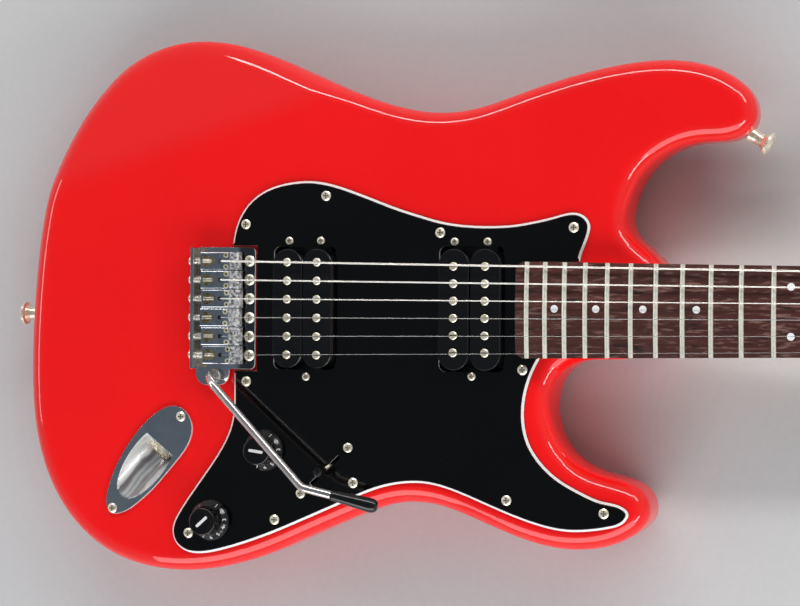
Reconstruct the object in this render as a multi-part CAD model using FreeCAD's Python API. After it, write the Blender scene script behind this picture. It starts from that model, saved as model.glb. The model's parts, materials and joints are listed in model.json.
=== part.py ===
import FreeCAD, Part
import os
import math
from FreeCAD import Vector as V, Matrix, Rotation, Placement

os.makedirs("parts", exist_ok=True)

# Solid-body electric guitar with a bolt-on neck, lying on its back.
# Frame: millimetres, +X along the strings towards the headstock, +Y the bass side,
# +Z out of the body's top.  X = 0 is the scale line at the bridge, Y = 0 the centre
# line, Z = 0 the plane of the back plates that the guitar lies on.

# ---------------------------------------------------------------- driving dimensions
SCALE = 648.0            # nut to bridge
PLATE_T = 2.0            # neck plate and back cover
BODY_T = 44.45
ZB = PLATE_T             # back of the body
ZT = ZB + BODY_T         # top of the body
EDGE_R = 12.7            # round-over of the body edges
CONTOUR_R = 60.0         # arc that eases the top and back into the arm and belly contours
GUARD_T = 2.4            # pickguard
N_FRETS = 22
BOARD_END = 175.2        # end of the fingerboard
BOARD_HW0, BOARD_HW1 = 27.9, 21.0
BOARD_T = 4.9
BOARD_TOP = ZT + 9.9
GLUE = BOARD_TOP - BOARD_T
BOARD_R = 241.0
NUT_L = 3.2
HEEL_X0, HEEL_X1 = 189.0, 262.0
HEEL_D = 20.5
STR_BRIDGE, STR_NUT = 56.0, 35.6
Z_STR_BRIDGE, Z_STR_NUT = ZT + 13.6, ZT + 11.75
GAUGES = [0.254, 0.330, 0.432, 0.660, 0.914, 1.168]    # treble to bass, diameters
HEAD_FACE = ZT + 1.5     # front of the headstock
HEAD_T = 14.0
TUNER_PITCH = 25.4
PIVOT_X, PIVOT_Z = 10.3, ZT + 3.2
PIVOT_SPREAD = 56.35
SCREW_PITCH = PIVOT_SPREAD / 5.0
BASE_X0, BASE_X1, BASE_HW = -25.0, 13.5, 36.4
BASE_Z0, BASE_Z1 = ZT + 2.3, ZT + 4.1
ARM_X, ARM_Y = -11.2, -40.6
VOL = (19.5, -84.5)
TONE = (-14.6, -127.2)
SW_A, SW_B = (72.1, -81.9), (42.6, -109.7)             # switch screws
JACK_SCREWS = [(-34.9, -65.6), (-79.4, -122.1)]
JACK_TILT = 25.0
PLUG_R = 3.2             # bore for a 6.35 mm plug

# ---------------------------------------------------------------- helpers
def box(x0, y0, z0, x1, y1, z1):
    return Part.makeBox(x1 - x0, y1 - y0, z1 - z0, V(x0, y0, z0))

def cyl(r, h, p, d=(0, 0, 1)):
    return Part.makeCylinder(r, h, V(*p), V(*d))

def cone(r0, r1, h, p, d=(0, 0, 1)):
    return Part.makeCone(r0, r1, h, V(*p), V(*d))

def spline_face(pts, z):
    c = Part.BSplineCurve()
    c.interpolate([V(x, y, z) for x, y in pts], PeriodicFlag=True)
    return Part.Face(Part.Wire([c.toShape()]))

def poly_face(pts, z):
    p = [V(x, y, z) for x, y in pts]
    return Part.Face(Part.makePolygon(p + [p[0]]))

def round_poly(pts, z):
    """Polygon (x, y, r) with each corner rounded to its own radius."""
    n = len(pts)
    edges, ends = [], []
    for i in range(n):
        x, y, r = pts[i]
        a = V(*pts[i - 1][:2], z)
        b = V(x, y, z)
        c = V(*pts[(i + 1) % n][:2], z)
        u, w = (a - b), (c - b)
        lu, lw = u.Length, w.Length
        u, w = u / lu, w / lw
        ang = math.acos(max(-1, min(1, u.dot(w))))
        if r <= 0 or abs(ang - math.pi) < 1e-3:
            ends.append((b, b, None))
            continue
        t = r / math.tan(ang / 2)
        t = min(t, 0.49 * lu, 0.49 * lw)
        rr = t * math.tan(ang / 2)
        bis = (u + w)
        bis = bis / bis.Length
        ctr = b + bis * (rr / math.sin(ang / 2))
        mid = ctr - bis * rr
        ends.append((b + u * t, b + w * t, mid))
    for i in range(n):
        p0, p1, mid = ends[i]
        q = ends[(i + 1) % n][0]
        if mid is not None:
            edges.append(Part.Arc(p0, mid, p1).toShape())
        if (q - p1).Length > 1e-4:
            edges.append(Part.LineSegment(p1, q).toShape())
    return Part.Face(Part.Wire(edges))

def slab(face, h):
    return face.extrude(V(0, 0, h))

def rrect(x0, y0, x1, y1, r, z0, z1):
    f = round_poly([(x0, y0, r), (x1, y0, r), (x1, y1, r), (x0, y1, r)], z0)
    return slab(f, z1 - z0)

def fuse(parts):
    s = parts[0]
    if len(parts) > 1:
        s = s.multiFuse(parts[1:])
    return s.removeSplitter()

def cutall(s, tools):
    return s.cut(Part.makeCompound(tools)) if tools else s

def capsule(x, y, length, width, z0, z1):
    """Rounded bar with its long side on Y."""
    h = (length - width) / 2.0
    r = width / 2.0
    a, b = V(x - r, y - h, z0), V(x - r, y + h, z0)
    c, d = V(x + r, y + h, z0), V(x + r, y - h, z0)
    w = Part.Wire([Part.LineSegment(a, b).toShape(), Part.Arc(b, V(x, y + h + r, z0), c).toShape(),
                   Part.LineSegment(c, d).toShape(), Part.Arc(d, V(x, y - h - r, z0), a).toShape()])
    return slab(Part.Face(w), z1 - z0)

def turn(profile, p, d=(0, 0, 1)):
    """Revolve a closed (radius, height) profile about an axis through p along d."""
    pts = [V(r, 0, h) for r, h in profile]
    f = Part.Face(Part.makePolygon(pts + [pts[0]]))
    s = f.revolve(V(0, 0, 0), V(0, 0, 1), 360)
    s = Part.Solid(s) if s.ShapeType == "Shell" else s
    m = Placement(V(*p), Rotation(V(0, 0, 1), V(*d)))
    s.Placement = m
    return s.copy()

def tube_path(pts, r, bends=None):
    """Round bar along straight runs joined by tangent arcs."""
    P = [V(*p) for p in pts]
    edges = []
    start = P[0]
    for i in range(1, len(P) - 1):
        u = (P[i - 1] - P[i])
        w = (P[i + 1] - P[i])
        lu, lw = u.Length, w.Length
        u, w = u / lu, w / lw
        ang = math.acos(max(-1, min(1, u.dot(w))))
        t = min(lu, lw) * 0.45
        if bends:
            t = min(t, bends[i - 1] / math.tan(ang / 2))
        rr = t * math.tan(ang / 2)
        bis = (u + w)
        bis = bis / bis.Length
        ctr = P[i] + bis * (rr / math.sin(ang / 2))
        a, b, m = P[i] + u * t, P[i] + w * t, ctr - bis * rr
        edges.append(Part.LineSegment(start, a).toShape())
        edges.append(Part.Arc(a, m, b).toShape())
        start = b
    edges.append(Part.LineSegment(start, P[-1]).toShape())
    path = Part.Wire(edges)
    d = (P[1] - P[0])
    prof = Part.Wire([Part.makeCircle(r, P[0], d)])
    return path.makePipeShell([prof], True, False)

def hexnut(af, h, bore, p, d=(0, 0, 1)):
    pts = [(af / math.sqrt(3) * math.cos(math.radians(60 * k)), af / math.sqrt(3) * math.sin(math.radians(60 * k))) for k in range(6)]
    s = slab(poly_face(pts, 0), h).cut(cyl(bore, h + 2, (0, 0, -1)))
    s.Placement = Placement(V(*p), Rotation(V(0, 0, 1), V(*d)))
    return s.copy()

def screw(p, d, head_r, head_h, shank_r, length, dome=0.35, slot=True):
    """Screw with its head seat at p; d points from the tip towards the head."""
    pr = [(0, -length), (shank_r, -length + shank_r), (shank_r, 0), (head_r, 0), (head_r, head_h * (1 - dome)),
          (head_r * 0.72, head_h * 0.93), (0, head_h)]
    s = turn(pr, p, d)
    if slot:
        c = box(-head_r * .52, -0.35, head_h - 0.7, head_r * .52, 0.35, head_h + 1).fuse(box(-0.35, -head_r * .52, head_h - 0.7, 0.35, head_r * .52, head_h + 1))
        c.Placement = Placement(V(*p), Rotation(V(0, 0, 1), V(*d)))
        s = s.cut(c)
    return s

NODES = {}
def out(name, shapes):
    shapes = shapes if isinstance(shapes, list) else [shapes]
    sol = []
    for s in shapes:
        sol += s.Solids
    NODES[name] = sol

def board_hw(x):
    return BOARD_HW0 + (BOARD_HW1 - BOARD_HW0) * (x - BOARD_END) / (SCALE - BOARD_END)

def string_y(i, x):
    """i = 0 (treble) to 5 (bass)."""
    s = STR_BRIDGE + (STR_NUT - STR_BRIDGE) * x / SCALE
    return (i - 2.5) / 5.0 * s

def crown(z, y):
    return z - (BOARD_R - math.sqrt(BOARD_R ** 2 - y * y))

def string_z(i, x):
    z = Z_STR_BRIDGE + (Z_STR_NUT - Z_STR_BRIDGE) * x / SCALE
    return crown(z, string_y(i, x))

# ---------------------------------------------------------------- body
BODY_OUTLINE = [
    (-42.1, 162.9), (-17.8, 161.9), (8.1, 155.3), (37.6, 143.6), (69.6, 129.8), (97.2, 120.3),
    (122.3, 116.1), (146.4, 118.2), (173.6, 126.6), (204.4, 135.9), (233.8, 142.0), (260.0, 143.8),
    (282.5, 140.4), (299.9, 132.0), (310.2, 119.6), (309.5, 106.0), (297.4, 97.8), (280.1, 96.4),
    (261.2, 91.2), (246.2, 79.4), (238.1, 63.4), (237.3, 47.6), (247.0, 36.6), (258.6, 24.2),
    (263.6, 6.7), (261.0, -10.5), (250.1, -23.0), (232.6, -28.1), (213.6, -28.9), (198.6, -36.0),
    (191.7, -50.9), (193.4, -68.2), (202.8, -83.8), (218.8, -93.4), (235.5, -97.8), (247.6, -104.8),
    (250.6, -117.6), (239.5, -130.2), (220.9, -137.2), (199.0, -138.3), (174.5, -133.0), (146.8, -122.5),
    (122.3, -114.8), (100.3, -114.6), (76.3, -122.3), (46.1, -135.5), (15.9, -148.5), (-10.9, -156.4),
    (-36.9, -159.4), (-61.7, -157.4), (-84.0, -150.2), (-103.1, -137.4), (-118.4, -119.7), (-129.3, -98.0),
    (-135.8, -73.0), (-138.2, -44.5), (-137.8, -11.3), (-135.4, 23.3), (-131.1, 55.1), (-124.1, 83.8),
    (-113.9, 109.4), (-100.8, 131.1), (-84.5, 147.5), (-64.6, 158.0)]

body = slab(spline_face(BODY_OUTLINE, ZB), BODY_T)
rims = [e for e in body.Edges if abs(e.BoundBox.ZMax - e.BoundBox.ZMin) < 1e-3]
for r_edge in (EDGE_R, 11.6, 10.4, 9.0, 7.5):
    try:
        b = body.makeFillet(r_edge, rims)
        if b.isValid() and b.Volume > 0.9 * body.Volume:
            body = b
            break
    except Exception:
        pass
print("edge radius", r_edge, body.isValid())

def wedge(p, q, z0, slope, up):
    """Half-space that starts on the line p-q and falls away to the left of p->q."""
    d = V(q[0] - p[0], q[1] - p[1], 0)
    d.normalize()
    n = V(-d.y, d.x, 0)
    a = math.radians(slope)
    sg = -1 if up else 1
    s1, d1 = CONTOUR_R * math.sin(a), CONTOUR_R * (1 - math.cos(a))
    s0 = d1 / math.tan(a) - s1                          # the arc that eases the surface into the slope starts here
    def at(s, drop):
        return V(p[0], p[1], z0) - d * 200 + n * s + V(0, 0, sg * (drop - 0.01))
    e0, em, e1, e2 = at(s0, 0), at(s0 + CONTOUR_R * math.sin(a / 2), CONTOUR_R * (1 - math.cos(a / 2))), at(s0 + s1, d1), at(s0 + s1 + 150, d1 + 150 * math.tan(a))
    lift = V(0, 0, -sg * 80)
    e3, e4 = e2 + lift, e0 + lift
    w = Part.Wire([Part.Arc(e0, em, e1).toShape()] + [Part.LineSegment(u, v).toShape() for u, v in ((e1, e2), (e2, e3), (e3, e4), (e4, e0))])
    return Part.Face(w).extrude(d * 600)

ARM_P, ARM_Q, ARM_SLOPE = (-136.0, 68.0), (66.0, 128.0), 17.0
BELLY_P, BELLY_Q, BELLY_SLOPE = (-60.0, 118.0), (150.0, 92.0), 17.0
body = body.cut(wedge(ARM_P, ARM_Q, ZT, ARM_SLOPE, True))
body = body.cut(wedge(BELLY_P, BELLY_Q, ZB, BELLY_SLOPE, False))

def heel_outline(gap):
    return round_poly([(HEEL_X0 - gap, -board_hw(HEEL_X0) - gap, 7), (HEEL_X1 + 40, -board_hw(HEEL_X1 + 40) - gap, 0),
                       (HEEL_X1 + 40, board_hw(HEEL_X1 + 40) + gap, 0), (HEEL_X0 - gap, board_hw(HEEL_X0) + gap, 7)], GLUE - HEEL_D)

pocket = slab(heel_outline(0.12), 60)
cuts = [pocket]
PU = [(35.2, 53.8, 54.8), (137.75, 156.75, 50.1)]       # pole rows and pole spread of each pickup
for x0, x1, sp in PU:
    xc = (x0 + x1) / 2
    cuts.append(rrect(xc - 21, -39, xc + 21, 39, 5, ZT - 19, ZT + 1))
    cuts.append(rrect(xc - 15, -46, xc + 15, 46, 5, ZT - 25, ZT + 1))
cuts.append(rrect(60, -6, 130, 6, 3, ZT - 16, ZT + 1))                      # wire channel between the pickups
cuts.append(slab(round_poly([(35, -40, 3), (47, -40, 3), (52, -92, 3), (36, -92, 3)], ZT - 19), 20))
CAV = [(86, -82, 8), (74, -96, 6), (46, -121, 8), (-6, -140, 9), (-28, -141, 9), (-30, -122, 9), (4, -68, 10), (30, -64, 8), (70, -68, 8)]
cuts.append(slab(round_poly(CAV, ZT - 36), 40))
# vibrato: block slot right through, spring cavity in the back
cuts.append(rrect(-22, -34.6, 4.5, 34.6, 4, ZB - 1, ZT + 1))
cuts.append(rrect(-24, -35.5, 30, 35.5, 6, ZB - 1, ZB + 20))
cuts.append(rrect(-5, -29, 131, 29, 6, ZB - 1, ZB + 16.5))
# output jack
ja, jb = V(*JACK_SCREWS[0], 0), V(*JACK_SCREWS[1], 0)
JU = (ja - jb)
JL = JU.Length
JU.normalize()                                          # towards the neck side
JC = (ja + jb) * 0.5
ct, st = math.cos(math.radians(JACK_TILT)), math.sin(math.radians(JACK_TILT))
JD = V(-JU.x * ct, -JU.y * ct, st)                      # way a plug leaves
CUP_R = 12.0                                            # radius of the scoop
JTOP = ZT + 1.5
JA = JC + JU * 11.87 + V(0, 0, JTOP - 5.0)              # scoop's axis at the jack panel
JP = JA - V(JU.x * st, JU.y * st, ct) * 3.6             # the jack's own axis, lower on the panel

def cup(grow, back):
    """Scoop of the jack plate: a cylinder that rises out through the plate."""
    return cyl(CUP_R + grow, 62, tuple(JA - JD * back), tuple(JD))

cuts.append(cup(1.7, 2.0).common(box(-200, -200, ZB, 200, 200, ZT + 1)))
cuts.append(cyl(9.6, 31, tuple(JP - JD * 31), tuple(JD)).common(box(-200, -200, ZB, 200, 200, ZT - 1.2)))
cuts.append(cyl(3.5, 50, (-22, -66, ZT - 26), (1, -0.25, 0)))
for x, y in ((204.95, -19.05), (204.95, 19.05), (243.05, -19.05), (243.05, 19.05)):
    cuts.append(cyl(2.3, 40, (x, y, ZB - 1)))
body = cutall(body, cuts)

# ---------------------------------------------------------------- neck, fingerboard, frets
def neck_section(x, hw, depth, n, z):
    pts = []
    m = 24
    for k in range(m + 1):
        t = math.pi * k / m
        c, s = math.cos(t), math.sin(t)
        pts.append(V(x, hw * math.copysign(abs(c) ** (2.0 / n), c), z - depth * abs(s) ** (2.0 / n)))
    c = Part.BSplineCurve()
    c.interpolate(pts)
    return Part.Wire([c.toShape(), Part.LineSegment(pts[-1], pts[0]).toShape()])

heel = slab(heel_outline(0.0), HEEL_D).common(box(180, -40, 0, HEEL_X1 + 6, 40, 100))
shaft = Part.makeLoft([neck_section(x, board_hw(x) - 0.02, d, n, GLUE) for x, d, n in (
    (258, 20.3, 7.0), (272, 20.0, 5.0), (288, 19.1, 3.2), (306, 18.3, 2.5), (340, 17.9, 2.15), (480, 17.2, 2.1),
    (600, 16.4, 2.1), (640, 16.0, 2.2), (655, 16.0, 2.4))], True, False)
HEAD = [(655, -21.3, 0), (676, -25.0, 60), (745, -41.5, 90), (812, -52.5, 14), (833, -47.0, 9),
        (829, -12.0, 9), (812, -8.6, 20), (689, 29.5, 16), (673, 29.0, 14), (664, 21.6, 9), (655, 21.3, 0)]
head = slab(round_poly(HEAD, HEAD_FACE - HEAD_T), GLUE - HEAD_FACE + HEAD_T)
HR = 25.0
ramp_x = 676.0
ramp = fuse([box(ramp_x, -80, HEAD_FACE, 860, 60, GLUE + 5), cyl(HR, 140, (ramp_x, -80, HEAD_FACE + HR), (0, 1, 0))])
head = head.cut(ramp)
neck = fuse([heel, shaft.cut(ramp), head])
print("neck", neck.Volume, len(neck.Solids), [round(q.Volume) for q in neck.Solids])
TR_Z = GLUE - 5.2
neck = neck.cut(cyl(3.2, 500, (HEEL_X0 + 8, 0, TR_Z), (1, 0, 0)))
neck = neck.cut(cyl(4.2, 42, (650, 0, TR_Z), (1, 0, 0)))
neck = neck.cut(box(SCALE, -30, GLUE - 2.2, SCALE + NUT_L, 30, GLUE + 6))
rod_end = 666.0
out("truss_rod", [cyl(2.6, rod_end - 210, (210, 0, TR_Z), (1, 0, 0)),
                  hexnut(6.0, 9, 2.6, (rod_end - 9, 0, TR_Z), (1, 0, 0))])

board = slab(round_poly([(BOARD_END, -board_hw(BOARD_END), 5.5), (SCALE, -BOARD_HW1, 0), (SCALE, BOARD_HW1, 0),
                         (BOARD_END, board_hw(BOARD_END), 5.5)], GLUE), BOARD_T + 1)
board = board.common(cyl(BOARD_R, 700, (100, 0, BOARD_TOP - BOARD_R), (1, 0, 0)))

frets = []
for n in range(1, N_FRETS + 1):
    x = SCALE * 2 ** (-n / 12.0)
    hw = board_hw(x) - 0.15
    ang = math.degrees(math.asin(hw / BOARD_R))
    z = BOARD_TOP
    w = Part.Wire([Part.Arc(V(x - 1.4, 0, z), V(x, 0, z + 1.15), V(x + 1.4, 0, z)).toShape(),
                   Part.makePolygon([V(x + 1.4, 0, z), V(x + 0.28, 0, z), V(x + 0.28, 0, z - 1.6), V(x - 0.28, 0, z - 1.6),
                                     V(x - 0.28, 0, z), V(x - 1.4, 0, z)])])
    f = Part.Face(w)
    f.rotate(V(0, 0, z - BOARD_R), V(1, 0, 0), -ang)
    frets.append(f.revolve(V(0, 0, z - BOARD_R), V(1, 0, 0), 2 * ang))
fret_solids = []
for s in frets:
    s = s if s.ShapeType == "Solid" else Part.Solid(s)
    if s.Volume < 0:
        s.reverse()
    fret_solids.append(s)
slot_tools = []
for n in range(1, N_FRETS + 1):
    x = SCALE * 2 ** (-n / 12.0)
    ang = 8.0
    f = Part.Face(Part.makePolygon([V(x - 0.28, 0, BOARD_TOP - 1.6), V(x + 0.28, 0, BOARD_TOP - 1.6), V(x + 0.28, 0, BOARD_TOP + 3),
                                    V(x - 0.28, 0, BOARD_TOP + 3), V(x - 0.28, 0, BOARD_TOP - 1.6)]))
    f.rotate(V(0, 0, BOARD_TOP - BOARD_R), V(1, 0, 0), -ang)
    slot_tools.append(f.revolve(V(0, 0, BOARD_TOP - BOARD_R), V(1, 0, 0), 2 * ang))
board = cutall(board, slot_tools)
out("frets", fret_solids)

DOT_R, DOT_Y = 2.15, 0.8
dots = []
def fret_mid(n):
    return (SCALE * 2 ** (-n / 12.0) + SCALE * 2 ** (-(n - 1) / 12.0)) / 2
arch = cyl(BOARD_R, 700, (100, 0, BOARD_TOP - BOARD_R), (1, 0, 0))
for n in (3, 5, 7, 9, 15, 17, 19, 21):
    dots.append(cyl(DOT_R, 6, (fret_mid(n), DOT_Y, BOARD_TOP - 1.5)).common(arch))
for y in (-13.9, 13.9):
    dots.append(cyl(DOT_R, 6, (fret_mid(12), y, BOARD_TOP - 2.0)).common(arch))
board = cutall(board, [cyl(DOT_R, 6, (fret_mid(n), DOT_Y, BOARD_TOP - 1.5)) for n in (3, 5, 7, 9, 15, 17, 19, 21)] +
               [cyl(DOT_R, 6, (fret_mid(12), y, BOARD_TOP - 2.0)) for y in (-13.9, 13.9)])
out("position_dots", dots)
out("fingerboard", board)

nut = rrect(SCALE, -BOARD_HW1, SCALE + NUT_L, BOARD_HW1, 0.6, GLUE - 2.2, GLUE + 10)
nut = nut.common(cyl(BOARD_R, 20, (SCALE - 5, 0, Z_STR_NUT + 0.45 - BOARD_R), (1, 0, 0)))

# ---------------------------------------------------------------- headstock hardware
T_DIR = V(127.0, -38.0, 0)
T_DIR.normalize()
T_OUT = V(-T_DIR.y, T_DIR.x, 0)
POSTS = []
for k in range(6):                                       # k = 0 the bass post, nearest the nut
    i = 5 - k
    base = V(690.0, 17.2, 0) + T_DIR * (k * TUNER_PITCH)
    POSTS.append((base.x, base.y))
BACK = HEAD_FACE - HEAD_T
neck_cuts, housings, bushes = [], [], []
POST_TOP = HEAD_FACE + 17.5
for k, (x, y) in enumerate(POSTS):
    neck_cuts.append(cyl(5.0, 30, (x, y, BACK - 5)))
    bushes.append(turn([(3.06, -11.5), (5.0, -11.5), (5.0, 0), (7.2, 0), (7.2, 0.8), (5.9, 2.2), (3.06, 2.2)], (x, y, HEAD_FACE)))
    # housing: a box under the headstock, bored for the gear and for the worm
    h = rrect(-8.6, -9.2, 8.6, 9.6, 3.2, -9.6, 0)
    h = h.makeFillet(1.6, [e for e in h.Edges if abs(e.BoundBox.ZMax + 9.6) < 1e-3])
    worm_x = -4.6 - 2.45
    h = h.cut(cyl(4.6, 5.4, (0, 0, -7.6)))
    h = h.cut(cyl(3.06, 3.0, (0, 0, -2.3)))
    h = h.fuse(cyl(4.0, 3.6, (worm_x + 2.0, 9.4, -4.9), (0, 1, 0)).common(box(-20, 0, -8.9, 20, 30, -0.9)))
    h = h.cut(cyl(2.65, 11.0, (worm_x + 2.0, -5.5, -4.9), (0, 1, 0)))
    h = h.cut(cyl(2.05, 12, (worm_x + 2.0, 4.0, -4.9), (0, 1, 0)))
    h.rotate(V(0, 0, 0), V(0, 0, 1), math.degrees(math.atan2(T_DIR.y, T_DIR.x)))
    h.translate(V(x, y, BACK))
    housings.append(h)
    # post with its worm wheel
    post = turn([(0, -7.3), (2.5, -7.3), (2.5, -2.6), (3.0, -2.6), (3.0, HEAD_T + 2.6), (2.35, HEAD_T + 3.4), (2.35, HEAD_T + 9.4),
                 (3.0, HEAD_T + 11.4), (3.0, HEAD_T + 16.6), (2.2, HEAD_T + 17.5), (0, HEAD_T + 17.5)], (x, y, BACK))
    post = post.cut(cyl(0.8, 12, (x - 6, y, BACK + HEAD_T + 8.4), (1, 0, 0)))
    out("tuner_post_%d" % (k + 1), post)
    # worm, stem and button in one piece
    wx = worm_x + 2.0
    b = fuse([cyl(2.0, 19.0, (wx, -4.6, -4.9), (0, 1, 0)), cyl(2.4, 8.2, (wx, -4.8, -4.9), (0, 1, 0)),
              turn([(0, 0), (2.6, 0), (3.4, 1.0), (3.4, 3.4), (2.4, 5.2), (2.4, 8.0), (0, 8.0)], (wx, 13.4, -4.9), (0, 1, 0))])
    o = slab(round_poly([(-7.2, 0, 3.2), (7.2, 0, 3.2), (9.6, 9.5, 6.0), (6.0, 15.5, 5.0), (-6.0, 15.5, 5.0), (-9.6, 9.5, 6.0)], -3.2), 6.4)
    o = o.makeFillet(1.9, [e for e in o.Edges if abs(e.BoundBox.ZMax - e.BoundBox.ZMin) < 1e-3])
    o.translate(V(wx, 18.6, -4.9))
    b = fuse([b, o])
    b.rotate(V(0, 0, 0), V(0, 0, 1), math.degrees(math.atan2(T_DIR.y, T_DIR.x)))
    b.translate(V(x, y, BACK))
    out("tuner_button_%d" % (k + 1), b)
    if k == 0:
        print("button axis point", x + wx * T_DIR.x, y + wx * T_DIR.y, BACK - 4.9, "dir", T_OUT)
print("tuner axes", [(round(x + wx * T_DIR.x, 3), round(y + wx * T_DIR.y, 3)) for x, y in POSTS], "z", BACK - 4.9, "posts", POSTS, "dir", tuple(T_OUT))
neck = cutall(neck, neck_cuts)
out("tuner_housings", housings)
out("tuner_bushings", bushes)

# string path past the nut, with the string retainers
SKY = []
NUT_EXIT = SCALE + NUT_L
trees, tree_at = [], [(727.0, (0, 1)), (706.0, (2, 3))]
WIND_Z = HEAD_FACE + 7.0
def post_tangent(k, gauge):
    i = 5 - k
    x, y = POSTS[k]
    yn = string_y(i, SCALE)
    off = 2.35 + gauge / 2 + 0.12
    # the string meets the side of its post that faces away from the buttons
    d = V(x - NUT_EXIT, y - yn, 0)
    d.normalize()
    nrm = V(d.y, -d.x, 0)
    return V(x, y, 0) + nrm * off

# ---------------------------------------------------------------- strings
strings = []
SADDLE_HOLE_X = -5.6
BLOCK_X = -5.0
Z_BALL = ZT - 33.0
for i in range(6):
    g = GAUGES[i]
    k = 5 - i
    yb, zb = string_y(i, 0), string_z(i, 0)
    yn, zn = string_y(i, SCALE), string_z(i, SCALE)
    t = post_tangent(k, g)
    runs = [V(SADDLE_HOLE_X, yb, Z_BALL), V(SADDLE_HOLE_X, yb, zb), V(SCALE + 1.6, yn, zn)]
    zt = WIND_Z
    tree = [tx for tx, who in tree_at if i in who]
    if tree:
        f = (tree[0] - NUT_EXIT) / (t.x - NUT_EXIT)
        runs.append(V(tree[0], yn + (t.y - yn) * f, HEAD_FACE + 4.6))
        zt = HEAD_FACE + 7.0
    runs.append(V(t.x, t.y, zt))
    bends = [0.9] + [4.0] * (len(runs) - 3)
    s = tube_path([tuple(p) for p in runs], g / 2, bends)
    strings.append(s)
    x, y = POSTS[k]
    # windings and ball end
    n_t = 3 if g < 0.6 else 2
    wr = 2.35 + g / 2 + 0.12
    for j in range(n_t):
        strings.append(Part.makeTorus(wr, g / 2, V(x, y, zt - (j + 1) * (g + 0.03))))
    strings.append(turn([(0, -2.0), (1.9, -2.0), (1.9, 0.8), (g / 2 + .25, 1.9), (0, 1.9)], (SADDLE_HOLE_X, yb, Z_BALL - 1.6)))
out("strings", strings)
slots = []
for i in range(6):
    g = GAUGES[i]
    yn, zn = string_y(i, SCALE), string_z(i, SCALE)
    slots.append(cyl(g / 2 + 0.02, 12, (SCALE - 4, yn, zn), (1, 0, 0)))
    slots.append(box(SCALE - 1, yn - g / 2 - .02, zn, SCALE + 6, yn + g / 2 + .02, zn + 5))
nut = cutall(nut, slots)
out("nut", nut)
for tx, who in tree_at:
    ys, zs = [], []
    for i in who:
        t = post_tangent(5 - i, GAUGES[i])
        yn = string_y(i, SCALE)
        ys.append(yn + (t.y - yn) * (tx - NUT_EXIT) / (t.x - NUT_EXIT))
    yc = sum(ys) / 2
    half = abs(ys[0] - ys[1]) / 2 + 2.0
    zb = HEAD_FACE + 4.6 + 0.64
    b = rrect(tx - 2.6, yc - half, tx + 2.6, yc + half, 2.2, zb, zb + 1.8)
    b = b.makeFillet(0.5, [e for e in b.Edges if abs(e.BoundBox.ZMin - zb - 1.8) < 1e-3])
    trees.append(fuse([b, cyl(1.9, zb - HEAD_FACE + 0.2, (tx, yc, HEAD_FACE))]).cut(cyl(1.2, 20, (tx, yc, HEAD_FACE - 5))))
    trees.append(screw((tx, yc, zb + 1.8), (0, 0, 1), 2.2, 1.1, 1.2, 14))
    neck = neck.cut(cyl(1.2, 8.5, (tx, yc, HEAD_FACE - 8)))
out("string_trees", trees)

# ---------------------------------------------------------------- neck joint
NP = (224.0, 0.0)
neck_screws, plate_holes = [], []
for sx in (-19.05, 19.05):
    for sy in (-19.05, 19.05):
        x, y = NP[0] + sx, NP[1] + sy
        pr = [(0, 0.15), (3.4, 0.15), (4.0, 0.45), (2.1, 2.2), (2.1, 38.5), (0, 40.5)]
        s = turn(pr, (x, y, 0))
        c = box(x - 2, y - .4, -1, x + 2, y + .4, 1.0).fuse(box(x - .4, y - 2, -1, x + .4, y + 2, 1.0))
        neck_screws.append(s.cut(c))
        neck = neck.cut(cyl(2.14, 12.3, (x, y, 28.5)))
        plate_holes.append(turn([(0, -0.5), (4.06, -0.5), (4.06, 0.5), (2.3, 2.05), (2.3, 2.6), (0, 2.6)], (x, y, 0)))
out("neck_screws", neck_screws)
out("neck", neck)
np_ = rrect(NP[0] - 32, NP[1] - 25.5, NP[0] + 32, NP[1] + 25.5, 4.5, 0, PLATE_T)
np_ = np_.makeFillet(0.6, [e for e in np_.Edges if abs(e.BoundBox.ZMax) < 1e-3])
out("neck_plate", cutall(np_, plate_holes))

# ---------------------------------------------------------------- strap buttons
MID = ZT - 22.0
STRAPS = [((-138.0, -4.0), (-1, 0)), ((305.5, 101.3), (0.866, -0.5))]
buttons, wood_screws = [], []
for (x, y), (dx, dy) in STRAPS:
    d = (dx, dy, 0)
    line = Part.LineSegment(V(x - dx * 30, y - dy * 30, MID), V(x + dx * 30, y + dy * 30, MID)).toShape()
    inside = line.common(body)
    L = max([(v.Point.x - x) * dx + (v.Point.y - y) * dy for v in inside.Vertexes])
    p = (x + dx * (L - 0.0), y + dy * (L - 0.0), MID)
    print("strap seat", p, L)
    prof = [(2.2, 0.0), (4.6, 0.0), (4.2, 1.5), (3.7, 4.5), (4.0, 8.0), (5.4, 10.4), (7.1, 11.2), (7.1, 12.4), (6.0, 13.2), (4.4, 13.2), (2.2, 11.6)]
    b = turn(prof, p, d)
    buttons.append(b.cut(body))
    s = turn([(0, -24), (2.1, -20), (2.1, 11.7), (4.0, 13.1), (3.2, 13.9), (0, 14.1)], p, d)
    wood_screws.append(s)
    body = body.cut(cyl(2.1, 26, tuple(V(*p) - V(*d) * 25), d))
out("strap_buttons", buttons)

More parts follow.
